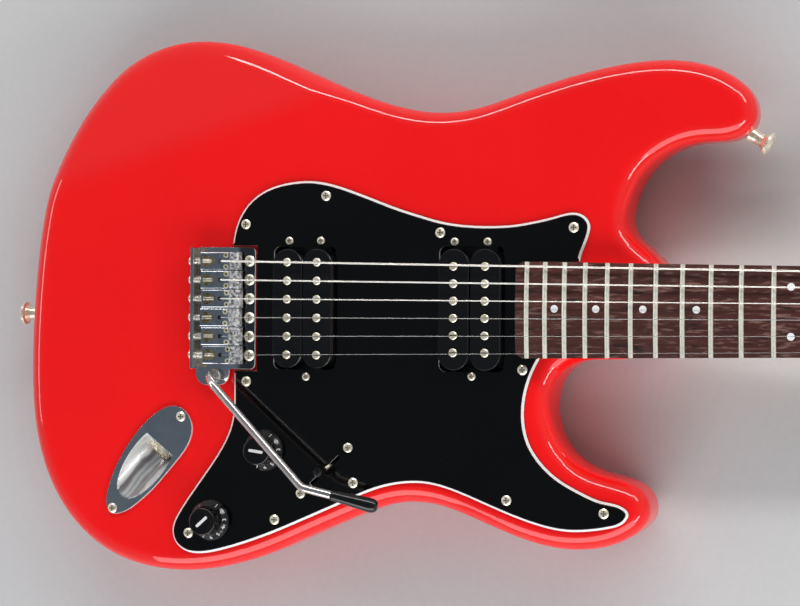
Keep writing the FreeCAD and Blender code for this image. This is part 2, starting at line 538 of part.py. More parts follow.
# ---------------------------------------------------------------- pickguard
GUARD = [
    (-2.2, 38.2), (-1.0, 45.6), (1.5, 53.0), (6.5, 61.0), (14.0, 67.8), (24.0, 72.6), (36.0, 75.2), (48.0, 75.7),
    (60.0, 73.8), (73.0, 69.8), (87.0, 64.6), (101.0, 59.4), (115.0, 55.0), (129.0, 51.2), (143.0, 49.2), (157.0, 48.6),
    (171.0, 49.2), (185.0, 51.4), (197.0, 54.2), (206.5, 56.2), (213.0, 54.6), (216.8, 49.8), (216.4, 43.5), (213.6, 36.0), (211.4, 29.0)]
GUARD_LO = [
    (187.2, -29.0), (182.0, -40.0), (179.0, -52.0), (178.6, -64.0), (181.5, -76.5), (188.5, -87.5), (199.0, -97.0),
    (212.0, -104.2), (226.0, -109.5), (236.5, -112.0), (240.4, -116.0), (238.0, -121.0), (230.0, -124.6), (217.0, -126.8),
    (203.0, -127.2), (189.0, -124.8), (175.0, -120.6), (161.0, -115.4), (147.0, -109.8), (133.0, -104.8), (120.0, -102.0),
    (106.0, -102.2), (93.0, -104.8), (78.0, -110.4), (62.0, -117.6), (44.0, -125.6), (26.0, -133.4), (8.0, -140.2),
    (-9.0, -145.4), (-23.0, -147.8), (-32.0, -146.4), (-38.2, -141.4), (-40.2, -133.5), (-36.6, -124.0), (-29.0, -112.5),
    (-19.5, -99.5), (-10.5, -86.5), (-4.4, -75.0), (-1.4, -64.0), (-0.8, -52.0), (-0.8, -38.4)]
def guard_face(z):
    def sp(pts):
        c = Part.BSplineCurve()
        c.interpolate([V(x, y, z) for x, y in pts])
        return c.toShape()
    def ln(a, b):
        return Part.LineSegment(V(a[0], a[1], z), V(b[0], b[1], z)).toShape()
    hwp = board_hw(200) + 0.3
    n1, n2 = (211.2, hwp), (188.0, hwp)
    n3, n4 = (188.0, -hwp), (187.6, -hwp)
    e = [sp(GUARD), ln(GUARD[-1], n1), ln(n1, n2), ln(n2, n3), ln(n3, n4), ln(n4, GUARD_LO[0]), sp(GUARD_LO)]
    q = [GUARD_LO[-1], (GUARD_LO[-1][0], -37.4), (14.0, -37.4), (14.0, 37.4), (GUARD[0][0], 37.4), GUARD[0]]
    for a, b in zip(q[:-1], q[1:]):
        e.append(ln(a, b))
    return Part.Face(Part.Wire(e))
guard = slab(guard_face(ZT), GUARD_T)
gc = []
for x0, x1, sp in PU:
    xc = (x0 + x1) / 2
    gc.append(rrect(xc - 20.0, -36.2, xc + 19.4, 36.9, 4.0, ZT - 1, ZT + 5))
PS = [(57.3, 66.8), (6.7, 50.2), (207.8, 47.6), (127.9, 44.8), (7.5, -43.7), (177.9, -34.6), (75.2, -102.6),
      (168.8, -110.2), (226.4, -116.1), (26.0, -125.8), (-29.2, -135.5)]
swu = V(SW_B[0] - SW_A[0], SW_B[1] - SW_A[1], 0)
sw_l = swu.Length
swu.normalize()
SWC = V((SW_A[0] + SW_B[0]) / 2, (SW_A[1] + SW_B[1]) / 2, 0)
swn = V(-swu.y, swu.x, 0)
def sw_box(u0, v0, z0, u1, v1, z1):
    b = box(u0, v0, z0, u1, v1, z1)
    b.Placement = Placement(SWC, Rotation(V(1, 0, 0), swu))
    return b.copy()
gc.append(sw_box(-12.4, -1.1, ZT - 1, 12.4, 1.1, ZT + 5))
for x, y in (VOL, TONE):
    gc.append(cyl(4.75, 6, (x, y, ZT - 1)))
for x, y in (SW_A, SW_B):
    gc.append(cyl(1.6, 6, (x, y, ZT - 1)))
HS = [(34.7, 40.2), (54.4, 40.2), (45.5, -40.4), (136.9, 39.5), (156.8, 39.5), (147.6, -38.8)]
for x, y in HS:
    gc.append(cyl(1.5, 6, (x, y, ZT - 1)))
for x, y in PS:
    gc.append(cyl(1.7, 6, (x, y, ZT - 1)))
    gc.append(cone(1.7, 3.0, 1.4, (x, y, ZT + GUARD_T - 1.4)))
guard = cutall(guard, gc)
out("pickguard", guard)

plate_screws = []
def plate_screw(x, y, z, up=1, length=14):
    s = turn([(0, -length), (1.6, 2 - length), (1.6, -1.4), (2.95, 0), (2.95, 0.15), (2.0, 0.75), (0, 0.95)], (x, y, z), (0, 0, up))
    c = box(-1.7, -0.3, 0.1, 1.7, 0.3, 3).fuse(box(-0.3, -1.7, 0.1, 0.3, 1.7, 3))
    c.Placement = Placement(V(x, y, z), Rotation(V(0, 0, 1), V(0, 0, up)))
    return s.cut(c)
body_holes = []
for x, y in PS:
    plate_screws.append(plate_screw(x, y, ZT + GUARD_T))
    body_holes.append(cyl(1.63, 12.6, (x, y, ZT - 12.1)))

# ---------------------------------------------------------------- pickups
bobbins, coils, bases, magnets, poles, hscrews, hsprings = [], [], [], [], [], [], []
B_TOP = ZT + 8.2
for x0, x1, sp in PU:
    xc = (x0 + x1) / 2
    base = rrect(xc - 18.6, -34, xc + 18.6, 34, 2, B_TOP - 15.4, B_TOP - 14.2)
    ears = [rrect(xc - 13.5, 33, xc + 13.5, 45.2, 2, B_TOP - 15.4, B_TOP - 14.2), rrect(xc - 8, -45.2, xc + 8, -33, 2, B_TOP - 15.4, B_TOP - 14.2)]
    base = fuse([base] + ears)
    bc = []
    for px in (x0, x1):
        topc = capsule(px, 0, 70.4, 18.3, B_TOP - 1.6, B_TOP)
        topc = topc.makeChamfer(0.45, [e for e in topc.Edges if e.BoundBox.ZMin > B_TOP - 1e-3])
        bob = fuse([topc, capsule(px, 0, 58, 7.0, B_TOP - 9.2, B_TOP - 1.6),
                    capsule(px, 0, 69.6, 18.3, B_TOP - 10.6, B_TOP - 9.2)])
        hole = []
        for j in range(6):
            y = (j - 2.5) / 5.0 * sp
            hole.append(cyl(1.6, 20, (px, y, B_TOP - 12)))
            hole.append(cyl(2.6, 3, (px, y, B_TOP - 0.6)))
            bc.append(cyl(1.75, 5, (px, y, B_TOP - 17)))
            poles.append(turn([(0, -18.0), (1.55, -18.0), (1.55, -0.6), (2.45, -0.6), (2.45, 0.5), (1.9, 0.9), (0, 0.95)], (px, y, B_TOP)).cut(
                box(px - 3, y - 0.4, B_TOP + 0.25, px + 3, y + 0.4, B_TOP + 2)))
        bobbins.append(cutall(bob, hole))
        coils.append(capsule(px, 0, 66.5, 15.4, B_TOP - 9.2, B_TOP - 1.6).cut(capsule(px, 0, 58, 7.0, B_TOP - 10, B_TOP)))
    magnets.append(box(xc - 6.3, -30, B_TOP - 14.2, xc + 6.3, 30, B_TOP - 10.6))
    bases.append((base, bc))
for n, (x, y) in enumerate(HS):
    hscrews.append(screw((x, y, ZT + GUARD_T), (0, 0, 1), 2.3, 1.5, 1.35, 22))
    top = ZT
    low = B_TOP - 14.2
    hsprings.append(cyl(2.5, top - low - 0.1, (x, y, low)).cut(cyl(1.75, 30, (x, y, low - 5))))
    bases[n // 3][1].append(cyl(1.5, 5, (x, y, B_TOP - 17)))
out("pickup_bobbins", bobbins)
out("pickup_coils", coils)
out("pickup_baseplates", [cutall(b, c) for b, c in bases])
out("pickup_magnets", magnets)
out("pickup_pole_screws", poles)
out("pickup_height_screws", hscrews)
out("pickup_springs", hsprings)

# ---------------------------------------------------------------- controls
pots, nuts = [], []
G1 = ZT + GUARD_T
for n, (x, y) in enumerate((VOL, TONE)):
    can = fuse([turn([(0, -14.0), (11.3, -14.0), (12.0, -13.2), (12.0, -3.2), (0, -3.2)], (x, y, ZT)),
                cyl(8.6, 1.7, (x, y, ZT - 3.2)), cyl(4.65, 9.0, (x, y, ZT - 3.2))])
    sd = (-1, 1)[n]
    lug = Part.makeCompound([box(x + min(8 * sd, 16.5 * sd), y - 6 + 4.4 * j, ZT - 4.4, x + max(8 * sd, 16.5 * sd), y - 3.6 + 4.4 * j, ZT - 3.6) for j in range(3)])
    can = fuse([can] + lug.Solids)
    can = can.cut(turn([(0, -12.4), (5.2, -12.4), (5.2, -8.2), (3.06, -8.2), (3.06, 12), (0, 12)], (x, y, ZT)))
    pots.append(can)
    nuts.append(cyl(6.6, 0.6, (x, y, G1)).cut(cyl(4.7, 3, (x, y, G1 - 1))))
    nuts.append(hexnut(11.0, 2.2, 4.68, (x, y, G1 + 0.6)))
    knob = turn([(0, 15.4), (0, 14.0), (0, 9.0), (3.0, 9.0), (3.0, 4.6), (7.4, 4.6), (8.4, 0.5), (12.3, 0.5), (12.4, 1.4), (12.0, 2.6),
                 (8.9, 5.6), (8.6, 6.2), (8.3, 14.6), (7.7, 15.4)], (x, y, G1))
    knob = knob.cut(cyl(3.0, 30, (x, y, ZT - 12)))
    knob = fuse([knob, turn([(0, 12.1), (8.0, 12.1), (7.7, 15.4), (0, 15.4)], (x, y, G1))])
    top = G1 + 12.1
    sh = fuse([cyl(3.0, top - (ZT - 11.4), (x, y, ZT - 11.4)), cyl(4.6, 2.6, (x, y, ZT - 11.6))])
    nm = ("volume", "tone")[n]
    out(nm + "_shaft", sh)
    out(nm + "_knob", knob)
out("control_pots", pots)
out("pot_nuts", nuts)

# pickup selector: frame and insulator fixed, lever blade on its own pivot
SW_PIVOT_Z = ZT - 9.0
frame_sw = fuse([sw_box(-24.5, -6.0, ZT - 1.5, 24.5, 6.0, ZT - 0.1), sw_box(-17, -6.0, ZT - 20, 17, -4.8, ZT - 0.5), sw_box(-17, 4.8, ZT - 20, 17, 6.0, ZT - 0.5),
                 sw_box(-21, 6.0, ZT - 26, 21, 8.0, ZT - 8)])
ax_p = SWC + V(0, 0, SW_PIVOT_Z)
frame_sw = frame_sw.cut(sw_box(-15.0, -1.3, ZT - 3, 15.0, 1.3, ZT + 1))
frame_sw = frame_sw.cut(cyl(2.06, 30, tuple(ax_p - swn * 15), tuple(swn)))
for x, y in (SW_A, SW_B):
    frame_sw = frame_sw.cut(cyl(1.45, 6, (x, y, ZT - 4)))
out("switch_frame", frame_sw)
LEV_HALF = 2.6
blade = slab(poly_face([(-4.6, SW_PIVOT_Z - 5), (4.6, SW_PIVOT_Z - 5), (5.0, ZT + 4.6), (LEV_HALF, ZT + 7.6), (LEV_HALF, ZT + 11.0), (-LEV_HALF, ZT + 11.0),
                        (-LEV_HALF, ZT + 7.6), (-5.0, ZT + 4.6)], -0.55), 1.1)
blade.Placement = Placement(SWC, Rotation(swu, V(0, 0, 1), V(0, 0, 0), "XYZ"))
blade = blade.copy()
lever = fuse([blade,
              cyl(4.0, 1.1, tuple(ax_p - swn * 0.55), tuple(swn)), cyl(2.0, 12.4, tuple(ax_p - swn * 6.2), tuple(swn))])
tip = turn([(0, 0), (3.0, 0), (3.7, 1.2), (3.9, 3.0), (2.9, 8.0), (1.9, 9.6), (0, 10.2)], (SWC.x, SWC.y, ZT + 7.6))
tip = tip.cut(lever)
out("switch_lever", lever)
out("switch_tip", tip)
out("switch_screws", [screw((x, y, G1), (0, 0, 1), 2.8, 1.5, 1.45, 7) for x, y in (SW_A, SW_B)])
print("switch axis", tuple(ax_p), tuple(swn))

# ---------------------------------------------------------------- output jack
JACK_OUTLINE = [(-38.4, -59.4), (-31.2, -63.4), (-27.6, -71.6), (-30.2, -82.4), (-38.7, -93.8), (-51.6, -108.4), (-64.6, -119.8), (-75.1, -125.2),
                (-80.4, -124.9), (-83.2, -121.0), (-83.2, -114.1), (-80.6, -104.4), (-75.3, -93.0), (-67.5, -80.6), (-59.7, -71.2), (-51.9, -64.3), (-45.7, -60.6)]
jplate = slab(spline_face(JACK_OUTLINE, ZT), 1.5)
jplate = fuse([jplate, cup(1.2, 1.4).common(box(-200, -200, ZB, 200, 200, ZT + 0.6))]).cut(cup(0, 0))
jplate = jplate.cut(cyl(4.75, 10, tuple(JP - JD * 5), tuple(JD)))
for x, y in JACK_SCREWS:
    jplate = cutall(jplate, [cyl(1.7, 6, (x, y, ZT - 1)), cone(1.7, 3.0, 1.4, (x, y, JTOP - 1.4))])
    plate_screws.append(plate_screw(x, y, JTOP, 1, 10))
    body_holes.append(cyl(1.63, 9.8, (x, y, ZT - 9.2)))
out("jack_plate", jplate)
jack = fuse([cyl(4.7, 5.4, tuple(JP - JD * 2.2), tuple(JD)), cyl(5.7, 24, tuple(JP - JD * 25.4), tuple(JD))])
jack = jack.cut(cyl(PLUG_R, 40, tuple(JP - JD * 24), tuple(JD)))
jnut = hexnut(12.0, 2.2, 4.72, tuple(JP + JD * 0.0), tuple(JD))
out("output_jack", [jack, jnut])
print("jack mouth", tuple(JP + JD * 3.2), "dir", tuple(JD), "bottom", tuple(JP - JD * 24))

# ---------------------------------------------------------------- vibrato bridge
base = rrect(BASE_X0, -BASE_HW, BASE_X1, BASE_HW, 3.0, BASE_Z0, BASE_Z1)
tab = slab(round_poly([(-24.2, -30, 0), (-24.2, -46.2, 7), (-2.9, -46.2, 7), (-2.9, -30, 0)], BASE_Z0), BASE_Z1 - BASE_Z0)
flange = rrect(BASE_X0, -BASE_HW, BASE_X0 + 2.0, BASE_HW, 0.9, BASE_Z0, ZT + 12.2)
base = fuse([base, tab, flange])
bcut = []
PX = [(PIVOT_X, (j - 2.5) * SCREW_PITCH) for j in range(6)]
for x, y in PX:
    bcut.append(cyl(2.35, 10, (x, y, BASE_Z0 - 2)))
for i in range(6):
    bcut.append(cyl(1.6, 10, (SADDLE_HOLE_X, string_y(i, 0), BASE_Z0 - 2)))
    bcut.append(cyl(1.65, 10, (BASE_X0 - 3, string_y(i, 0), ZT + 8.6), (1, 0, 0)))
bcut.append(cyl(2.6, 10, (ARM_X, ARM_Y, BASE_Z0 - 2)))
base = cutall(base, bcut)
out("bridge_plate", base)
block = rrect(-12.0, -32.0, 1.0, 32.0, 1.5, ZT - 37.5, BASE_Z0)
kc = []
for i in range(6):
    y = string_y(i, 0)
    kc.append(cyl(1.6, 60, (SADDLE_HOLE_X, y, ZT - 45)))
    kc.append(cyl(2.4, 20, (SADDLE_HOLE_X, y, ZT - 52.9)))
    kc.append(cyl(2.4, 8, (SADDLE_HOLE_X, y, ZT - 40)))
SPR_Y = [-21.0, 0.0, 21.0]
SPR_Z = ZB + 8.6
for y in SPR_Y:
    kc.append(cyl(0.85, 8, (-4.0, y + 3.55, SPR_Z), (1, 0, 0)))
block = cutall(block, kc)
out("bridge_block", block)

saddles, set_screws, int_screws, int_springs = [], [], [], []
OFFS = [0.0, -1.0, -2.2, -0.6, -1.8, -3.0]
for i in range(6):
    y = string_y(i, 0)
    g = GAUGES[i]
    z_top = string_z(i, 0) - g / 2 - 0.06
    zb = BASE_Z1 + 2.4
    xb = -17.0 + OFFS[i] * 0.6
    xf = 6.8 + OFFS[i] * 0.3
    pr = [V(xb, 0, zb), V(xf, 0, zb), V(xf, 0, zb + 2.4), V(xf - 0.7, 0, zb + 4.0), V(xf - 2.2, 0, z_top - 1.1), V(xf - 4.6, 0, z_top), V(xb, 0, z_top)]
    f = Part.Face(Part.makePolygon(pr + [pr[0]]))
    s = f.extrude(V(0, 10.7, 0))
    s.translate(V(0, y - 5.35, 0))
    s = s.makeFillet(0.7, [e for e in s.Edges if abs(e.BoundBox.ZMin - z_top) < 1e-3 and abs(e.BoundBox.ZMax - z_top) < 1e-3 and e.BoundBox.XLength > 5])
    sc = [cyl(1.25, 20, (SADDLE_HOLE_X, y, zb - 3)),
          box(SADDLE_HOLE_X, y - 0.75, z_top - 0.5, xf + 1, y + 0.75, z_top + 3)]
    # tapered recess over the intonation screw
    rec = slab(poly_face([(xb + 1.3, y - 3.4), (xb + 4.0, y - 3.4), (xb + 8.8, y - 1.6), (xb + 8.8, y + 1.6), (xb + 4.0, y + 3.4), (xb + 1.3, y + 3.4)], ZT + 7.4), 10)
    sc.append(rec)
    sc.append(cyl(1.3, 10, (xb - 1, y, ZT + 8.6), (1, 0, 0)))
    for dy in (-3.45, 3.45):
        xs = -1.0 + OFFS[i] * .5
        sc.append(cyl(1.5, 12, (xs, y + dy, zb - 1)))
        st = cyl(1.5, z_top + 0.35 - BASE_Z1, (xs, y + dy, BASE_Z1))
        hx = slab(poly_face([(0.85 * math.cos(math.radians(60 * q)), 0.85 * math.sin(math.radians(60 * q))) for q in range(6)], 0), 3)
        hx.translate(V(xs, y + dy, z_top + 0.35 - 1.6))
        set_screws.append(st.cut(hx))
    saddles.append(cutall(s, sc))
    xs = BASE_X0
    L = (xb + 7.0) - xs
    int_screws.append(turn([(0, -L), (1.3, -L + 0.6), (1.3, 0), (2.7, 0), (2.7, 1.1), (1.9, 1.9), (0, 2.1)], (xs, y, ZT + 8.6), (-1, 0, 0)))
    int_springs.append(cyl(2.35, (xb) - (BASE_X0 + 2.0), (BASE_X0 + 2.0, y, ZT + 8.6), (1, 0, 0)).cut(cyl(1.6, 40, (BASE_X0 - 2, y, ZT + 8.6), (1, 0, 0))))
out("saddles", saddles)
out("saddle_height_screws", set_screws)
out("intonation_screws", int_screws)
out("intonation_springs", int_springs)

pivot = []
for x, y in PX:
    s = turn([(0, -26), (1.7, -22), (1.7, 0), (3.3, 0), (3.3, 0.5), (2.3, 1.25), (0, 1.5)], (x, y, BASE_Z1 + 0.75))
    c = box(x - 1.9, y - .35, BASE_Z1 + 1.5, x + 1.9, y + .35, BASE_Z1 + 4).fuse(box(x - .35, y - 1.9, BASE_Z1 + 1.5, x + .35, y + 1.9, BASE_Z1 + 4))
    pivot.append(s.cut(c))
    body_holes.append(cyl(1.73, 24.6, (x, y, ZT - 22.3)))
out("bridge_pivot_screws", pivot)

# arm: pin through the tab, then up and out over the pickguard
ARM_BEND = V(55.0, -103.6, ZT + 36.2)
ARM_END = V(100.1, -114.0, ZT + 31.5)
d = ARM_END - ARM_BEND
a0 = ARM_BEND + d * (18.0 / d.Length)
ARM = [(ARM_X, ARM_Y, ZT + 1.5), (ARM_X, ARM_Y, ZT + 20.5), tuple(ARM_BEND), tuple(ARM_BEND + d * (26.0 / d.Length))]
arm = tube_path(ARM, 2.45, [12.0, 9.0])
collar = turn([(2.0, 0), (4.2, 0), (4.2, 3.2), (3.4, 4.2), (2.0, 4.2)], (ARM_X, ARM_Y, BASE_Z1 + 0.35))
lowpin = cyl(2.53, 4.5, (ARM_X, ARM_Y, ZT + 1.4))
arm = fuse([arm, collar, lowpin])
out("vibrato_arm", arm)
Lg = (ARM_END - a0).Length
grip = turn([(2.46, 0), (2.9, 0.3), (3.05, 1.2), (3.35, Lg * 0.3), (3.95, Lg * 0.62), (4.25, Lg * 0.8), (4.15, Lg - 3.4), (3.5, Lg - 1.4), (2.2, Lg - 0.3), (0, Lg),
             (0, 8.05), (2.46, 8.05)], tuple(a0), tuple(d))
out("arm_tip", grip)

# springs, claw and cover at the back
CLAW_X = 112.0
claw = fuse([box(CLAW_X, -27.5, ZB + 1.2, CLAW_X + 1.8, 27.5, ZB + 13.6)] +
            [box(CLAW_X - 4.5, y - 2.2, ZB + 11.8, CLAW_X + 0.5, y + 2.2, ZB + 13.6) for y in (-21, -10.5, 0, 10.5, 21)])
CLS = [(-15.75), (15.75)]
claw = cutall(claw, [cyl(2.3, 20, (CLAW_X - 5, y, ZB + 6.0), (1, 0, 0)) for y in CLS])
out("spring_claw", claw)
for y in CLS:
    p = (CLAW_X, y, ZB + 6.0)
    wood_screws.append(turn([(0, -34), (2.1, -30), (2.1, 0), (4.0, 0), (4.0, 1.0), (2.6, 2.2), (0, 2.4)], p, (-1, 0, 0)))
    body_holes.append(cyl(2.14, 20.3, (CLAW_X + 15, y, ZB + 6.0), (1, 0, 0)))
out("claw_and_strap_screws", wood_screws)
springs = []
SX0, SX1 = 8.0, CLAW_X - 7.0
for y in SPR_Y:
    coil = cyl(4.2, SX1 - SX0, (SX0, y, SPR_Z), (1, 0, 0)).cut(cyl(2.9, 200, (0, y, SPR_Z), (1, 0, 0)))
    springs.append(fuse([coil, cyl(0.65, 10.0, (SX0 - 0.0 - 9.5, y + 3.55, SPR_Z), (1, 0, 0)), cyl(0.65, 3.0, (SX1 - 0.5, y, SPR_Z + 3.55), (1, 0, 0))]))
out("trem_springs", springs)
CVX0, CVX1, CVY = -31.0, 139.0, 42.5
cover = rrect(CVX0, -CVY, CVX1, CVY, 8.0, 0, PLATE_T)
cover = cover.makeFillet(0.5, [e for e in cover.Edges if abs(e.BoundBox.ZMax) < 1e-3])
cc = []
for i in range(6):
    y = string_y(i, 0)
    cc.append(rrect(-12.5, y - 3.9, 1.5, y + 3.9, 3.8, -1, PLATE_T + 1))
CS = [(CVX0 + 4.0, 0 + 38.6), (CVX0 + 4.0, -38.6), (54.0, 38.0), (54.0, -38.0), (CVX1 - 5.5, 36.5), (CVX1 - 5.5, -36.5)]
for x, y in CS:
    cc.append(cyl(1.7, 6, (x, y, -1)))
    cc.append(cone(3.0, 1.7, 1.4, (x, y, 0.95)))
    cc.append(cyl(3.0, 2.0, (x, y, -1.05)))
    plate_screws.append(plate_screw(x, y, 0.97, -1))
    body_holes.append(cyl(1.63, 13.7, (x, y, ZB - 0.2)))
    body_holes.append(cyl(2.1, 0.7, (x, y, ZB - 0.2)))
cover = cutall(cover, cc)
out("back_cover", cover)
out("plate_screws", plate_screws)
body = cutall(body, body_holes)
out("body", body)

# ---------------------------------------------------------------- write
total = None
for f in os.listdir("parts"):
    if f.endswith(".step") and f[:-5] not in NODES:
        os.remove(os.path.join("parts", f))
for name, sol in NODES.items():
    bad = [k for k, s in enumerate(sol) if not s.isValid() or s.Volume <= 0]
    shape = sol[0] if len(sol) == 1 else Part.makeCompound(sol)
    shape.exportStep("parts/%s.step" % name)
    bb = shape.BoundBox
    print("%-24s %3d solids  vol %10.1f  x %.1f..%.1f y %.1f..%.1f z %.1f..%.1f %s" % (
        name, len(sol), sum(s.Volume for s in sol), bb.XMin, bb.XMax, bb.YMin, bb.YMax, bb.ZMin, bb.ZMax, "BAD %s" % bad if bad else ""))
print(len(NODES), "nodes")
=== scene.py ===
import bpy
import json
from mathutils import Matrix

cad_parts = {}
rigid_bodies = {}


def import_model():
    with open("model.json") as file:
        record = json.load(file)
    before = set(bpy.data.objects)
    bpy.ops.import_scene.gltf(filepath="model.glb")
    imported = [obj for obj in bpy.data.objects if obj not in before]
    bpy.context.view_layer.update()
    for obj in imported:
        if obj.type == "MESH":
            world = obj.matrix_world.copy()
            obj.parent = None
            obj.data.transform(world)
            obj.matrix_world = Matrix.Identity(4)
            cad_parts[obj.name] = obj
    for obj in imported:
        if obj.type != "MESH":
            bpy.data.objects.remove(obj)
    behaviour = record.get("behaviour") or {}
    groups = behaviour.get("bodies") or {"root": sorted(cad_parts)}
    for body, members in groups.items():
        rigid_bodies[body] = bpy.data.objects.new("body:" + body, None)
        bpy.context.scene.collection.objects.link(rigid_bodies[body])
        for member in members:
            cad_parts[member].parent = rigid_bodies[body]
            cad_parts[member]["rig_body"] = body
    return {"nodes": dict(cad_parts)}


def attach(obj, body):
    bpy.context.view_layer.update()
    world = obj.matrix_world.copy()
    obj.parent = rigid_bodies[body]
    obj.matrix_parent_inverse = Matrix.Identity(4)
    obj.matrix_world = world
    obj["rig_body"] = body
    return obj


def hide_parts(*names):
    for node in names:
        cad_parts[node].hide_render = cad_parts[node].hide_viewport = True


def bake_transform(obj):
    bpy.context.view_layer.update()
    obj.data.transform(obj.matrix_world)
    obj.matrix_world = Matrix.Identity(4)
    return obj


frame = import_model()
import json, math
import bpy, bmesh
import numpy as np
from mathutils import Vector, Matrix
from mathutils.geometry import delaunay_2d_cdt

MM = 0.001
ZB, ZT = 2.0, 46.45
GUARD_T = 2.4
G1 = ZT + GUARD_T
scene = bpy.context.scene
scene.view_settings.view_transform = "Standard"
nodes = frame["nodes"]
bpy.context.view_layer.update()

# ------------------------------------------------------------------ camera
cam_data = bpy.data.cameras.new("photo_camera")
cam_data.lens = 112.145
cam_data.sensor_width = 36.0
cam = bpy.data.objects.new("photo_camera", cam_data)
cam.location = (0.543146, 0.001124, 1.442068)
cam.rotation_mode = "XYZ"
cam.rotation_euler = [math.radians(a) for a in (0.21676, 17.51086, 0.39255)]
scene.collection.objects.link(cam)
scene.camera = cam

# ------------------------------------------------------------------ materials
class Mat:
    """A node tree with a Principled shader, filled in step by step."""
    def __init__(self, name):
        self.m = bpy.data.materials.new(name)
        self.m.use_nodes = True
        self.nt = self.m.node_tree
        self.p = next(n for n in self.nt.nodes if n.type == "BSDF_PRINCIPLED")
        self.co = self.nt.nodes.new("ShaderNodeTexCoord").outputs["Object"]
        self.normal = None

    def set(self, **kw):
        for k, v in kw.items():
            s = self.p.inputs[k.replace("_", " ")]
            s.default_value = v if not isinstance(v, tuple) else (*v, 1.0)
        return self

    def link(self, out, inp):
        self.nt.links.new(out, inp)

    def mapping(self, scale=(1, 1, 1), rot=(0, 0, 0), loc=(0, 0, 0)):
        n = self.nt.nodes.new("ShaderNodeMapping")
        n.inputs["Scale"].default_value = scale
        n.inputs["Rotation"].default_value = rot
        n.inputs["Location"].default_value = loc
        self.link(self.co, n.inputs["Vector"])
        return n.outputs["Vector"]

    def noise(self, scale, detail=4.0, rough=0.5, stretch=(1, 1, 1), rot=(0, 0, 0), distortion=0.0):
        n = self.nt.nodes.new("ShaderNodeTexNoise")
        n.inputs["Scale"].default_value = scale
        n.inputs["Detail"].default_value = detail
        n.inputs["Roughness"].default_value = rough
        n.inputs["Distortion"].default_value = distortion
        self.link(self.mapping(stretch, rot), n.inputs["Vector"])
        return n.outputs["Fac"]

    def voronoi(self, scale, stretch=(1, 1, 1), feature="F1"):
        n = self.nt.nodes.new("ShaderNodeTexVoronoi")
        n.feature = feature
        n.inputs["Scale"].default_value = scale
        self.link(self.mapping(stretch), n.inputs["Vector"])
        return n.outputs["Distance"]

    def wave(self, scale, axis="X", distortion=0.0, detail=2.0, stretch=(1, 1, 1)):
        n = self.nt.nodes.new("ShaderNodeTexWave")
        n.bands_direction = axis
        n.inputs["Scale"].default_value = scale
        n.inputs["Distortion"].default_value = distortion
        n.inputs["Detail"].default_value = detail
        self.link(self.mapping(stretch), n.inputs["Vector"])
        return n.outputs["Fac"]

    def ramp(self, fac, stops, interp="LINEAR"):
        n = self.nt.nodes.new("ShaderNodeValToRGB")
        n.color_ramp.interpolation = interp
        e = n.color_ramp.elements
        while len(e) > 1:
            e.remove(e[-1])
        e[0].position = stops[0][0]
        e[0].color = (*stops[0][1], 1)
        for p, c in stops[1:]:
            k = e.new(p)
            k.color = (*c, 1)
        self.link(fac, n.inputs["Fac"])
        return n.outputs["Color"]

    def spread(self, fac, a, b, lo=0.3, hi=0.7):
        n = self.nt.nodes.new("ShaderNodeMapRange")
        n.inputs["From Min"].default_value = lo
        n.inputs["From Max"].default_value = hi
        n.inputs["To Min"].default_value = a
        n.inputs["To Max"].default_value = b
        self.link(fac, n.inputs["Value"])
        return n.outputs["Result"]

    def mix(self, fac, a, b, mode="MIX"):
        n = self.nt.nodes.new("ShaderNodeMix")
        n.data_type = "RGBA"
        n.blend_type = mode
        if isinstance(fac, float):
            n.inputs[0].default_value = fac
        else:
            self.link(fac, n.inputs[0])
        for k, v in ((6, a), (7, b)):
            if isinstance(v, tuple):
                n.inputs[k].default_value = (*v, 1)
            else:
                self.link(v, n.inputs[k])
        return n.outputs[2]

    def math(self, op, a, b=None):
        n = self.nt.nodes.new("ShaderNodeMath")
        n.operation = op
        for k, v in enumerate((a, b)):
            if v is None:
                continue
            if isinstance(v, (int, float)):
                n.inputs[k].default_value = v
            else:
                self.link(v, n.inputs[k])
        return n.outputs[0]

    def axis(self, k):
        n = self.nt.nodes.new("ShaderNodeSeparateXYZ")
        self.link(self.co, n.inputs[0])
        return n.outputs[k]

    def step(self, k, a, b):
        """0 below a, 1 above b (in mm) along an axis of the object."""
        return self.spread(self.axis(k), 0.0, 1.0, a * MM, b * MM)

    def band(self, k, a, b, soft=0.3):
        return self.math("MULTIPLY", self.step(k, a - soft, a), self.math("SUBTRACT", 1.0, self.step(k, b, b + soft)))

    def hollow(self, distance, lo=0.35, hi=0.75):
        """1 deep in a recess, 0 on open faces, from ambient occlusion; the mask of painted shade."""
        n = self.nt.nodes.new("ShaderNodeAmbientOcclusion")
        n.samples = 6
        n.only_local = True
        n.inputs["Distance"].default_value = distance * MM
        return self.spread(n.outputs["AO"], 1.0, 0.0, lo, hi)

    def painted_rim_highlight(self, radius, way, lo=0.12, hi=0.34):
        """1 on edges that turn over towards the direction given; the mask of a painted highlight on those rims."""
        n = self.nt.nodes.new("ShaderNodeBevel")
        n.samples = 8
        n.inputs["Radius"].default_value = radius * MM
        d = self.nt.nodes.new("ShaderNodeVectorMath")
        d.operation = "DOT_PRODUCT"
        self.link(n.outputs["Normal"], d.inputs[0])
        d.inputs[1].default_value = way
        return self.spread(d.outputs["Value"], 0.0, 1.0, lo, hi)

    def color(self, out):
        self.link(out, self.p.inputs["Base Color"])
        return self

    def rough(self, out):
        self.link(out, self.p.inputs["Roughness"])
        return self

    def bump(self, height, strength, distance=0.0002):
        n = self.nt.nodes.new("ShaderNodeBump")
        n.inputs["Strength"].default_value = strength
        n.inputs["Distance"].default_value = distance
        self.link(height, n.inputs["Height"])
        if self.normal is not None:
            self.link(self.normal, n.inputs["Normal"])
        self.normal = n.outputs["Normal"]
        self.link(self.normal, self.p.inputs["Normal"])
        return self


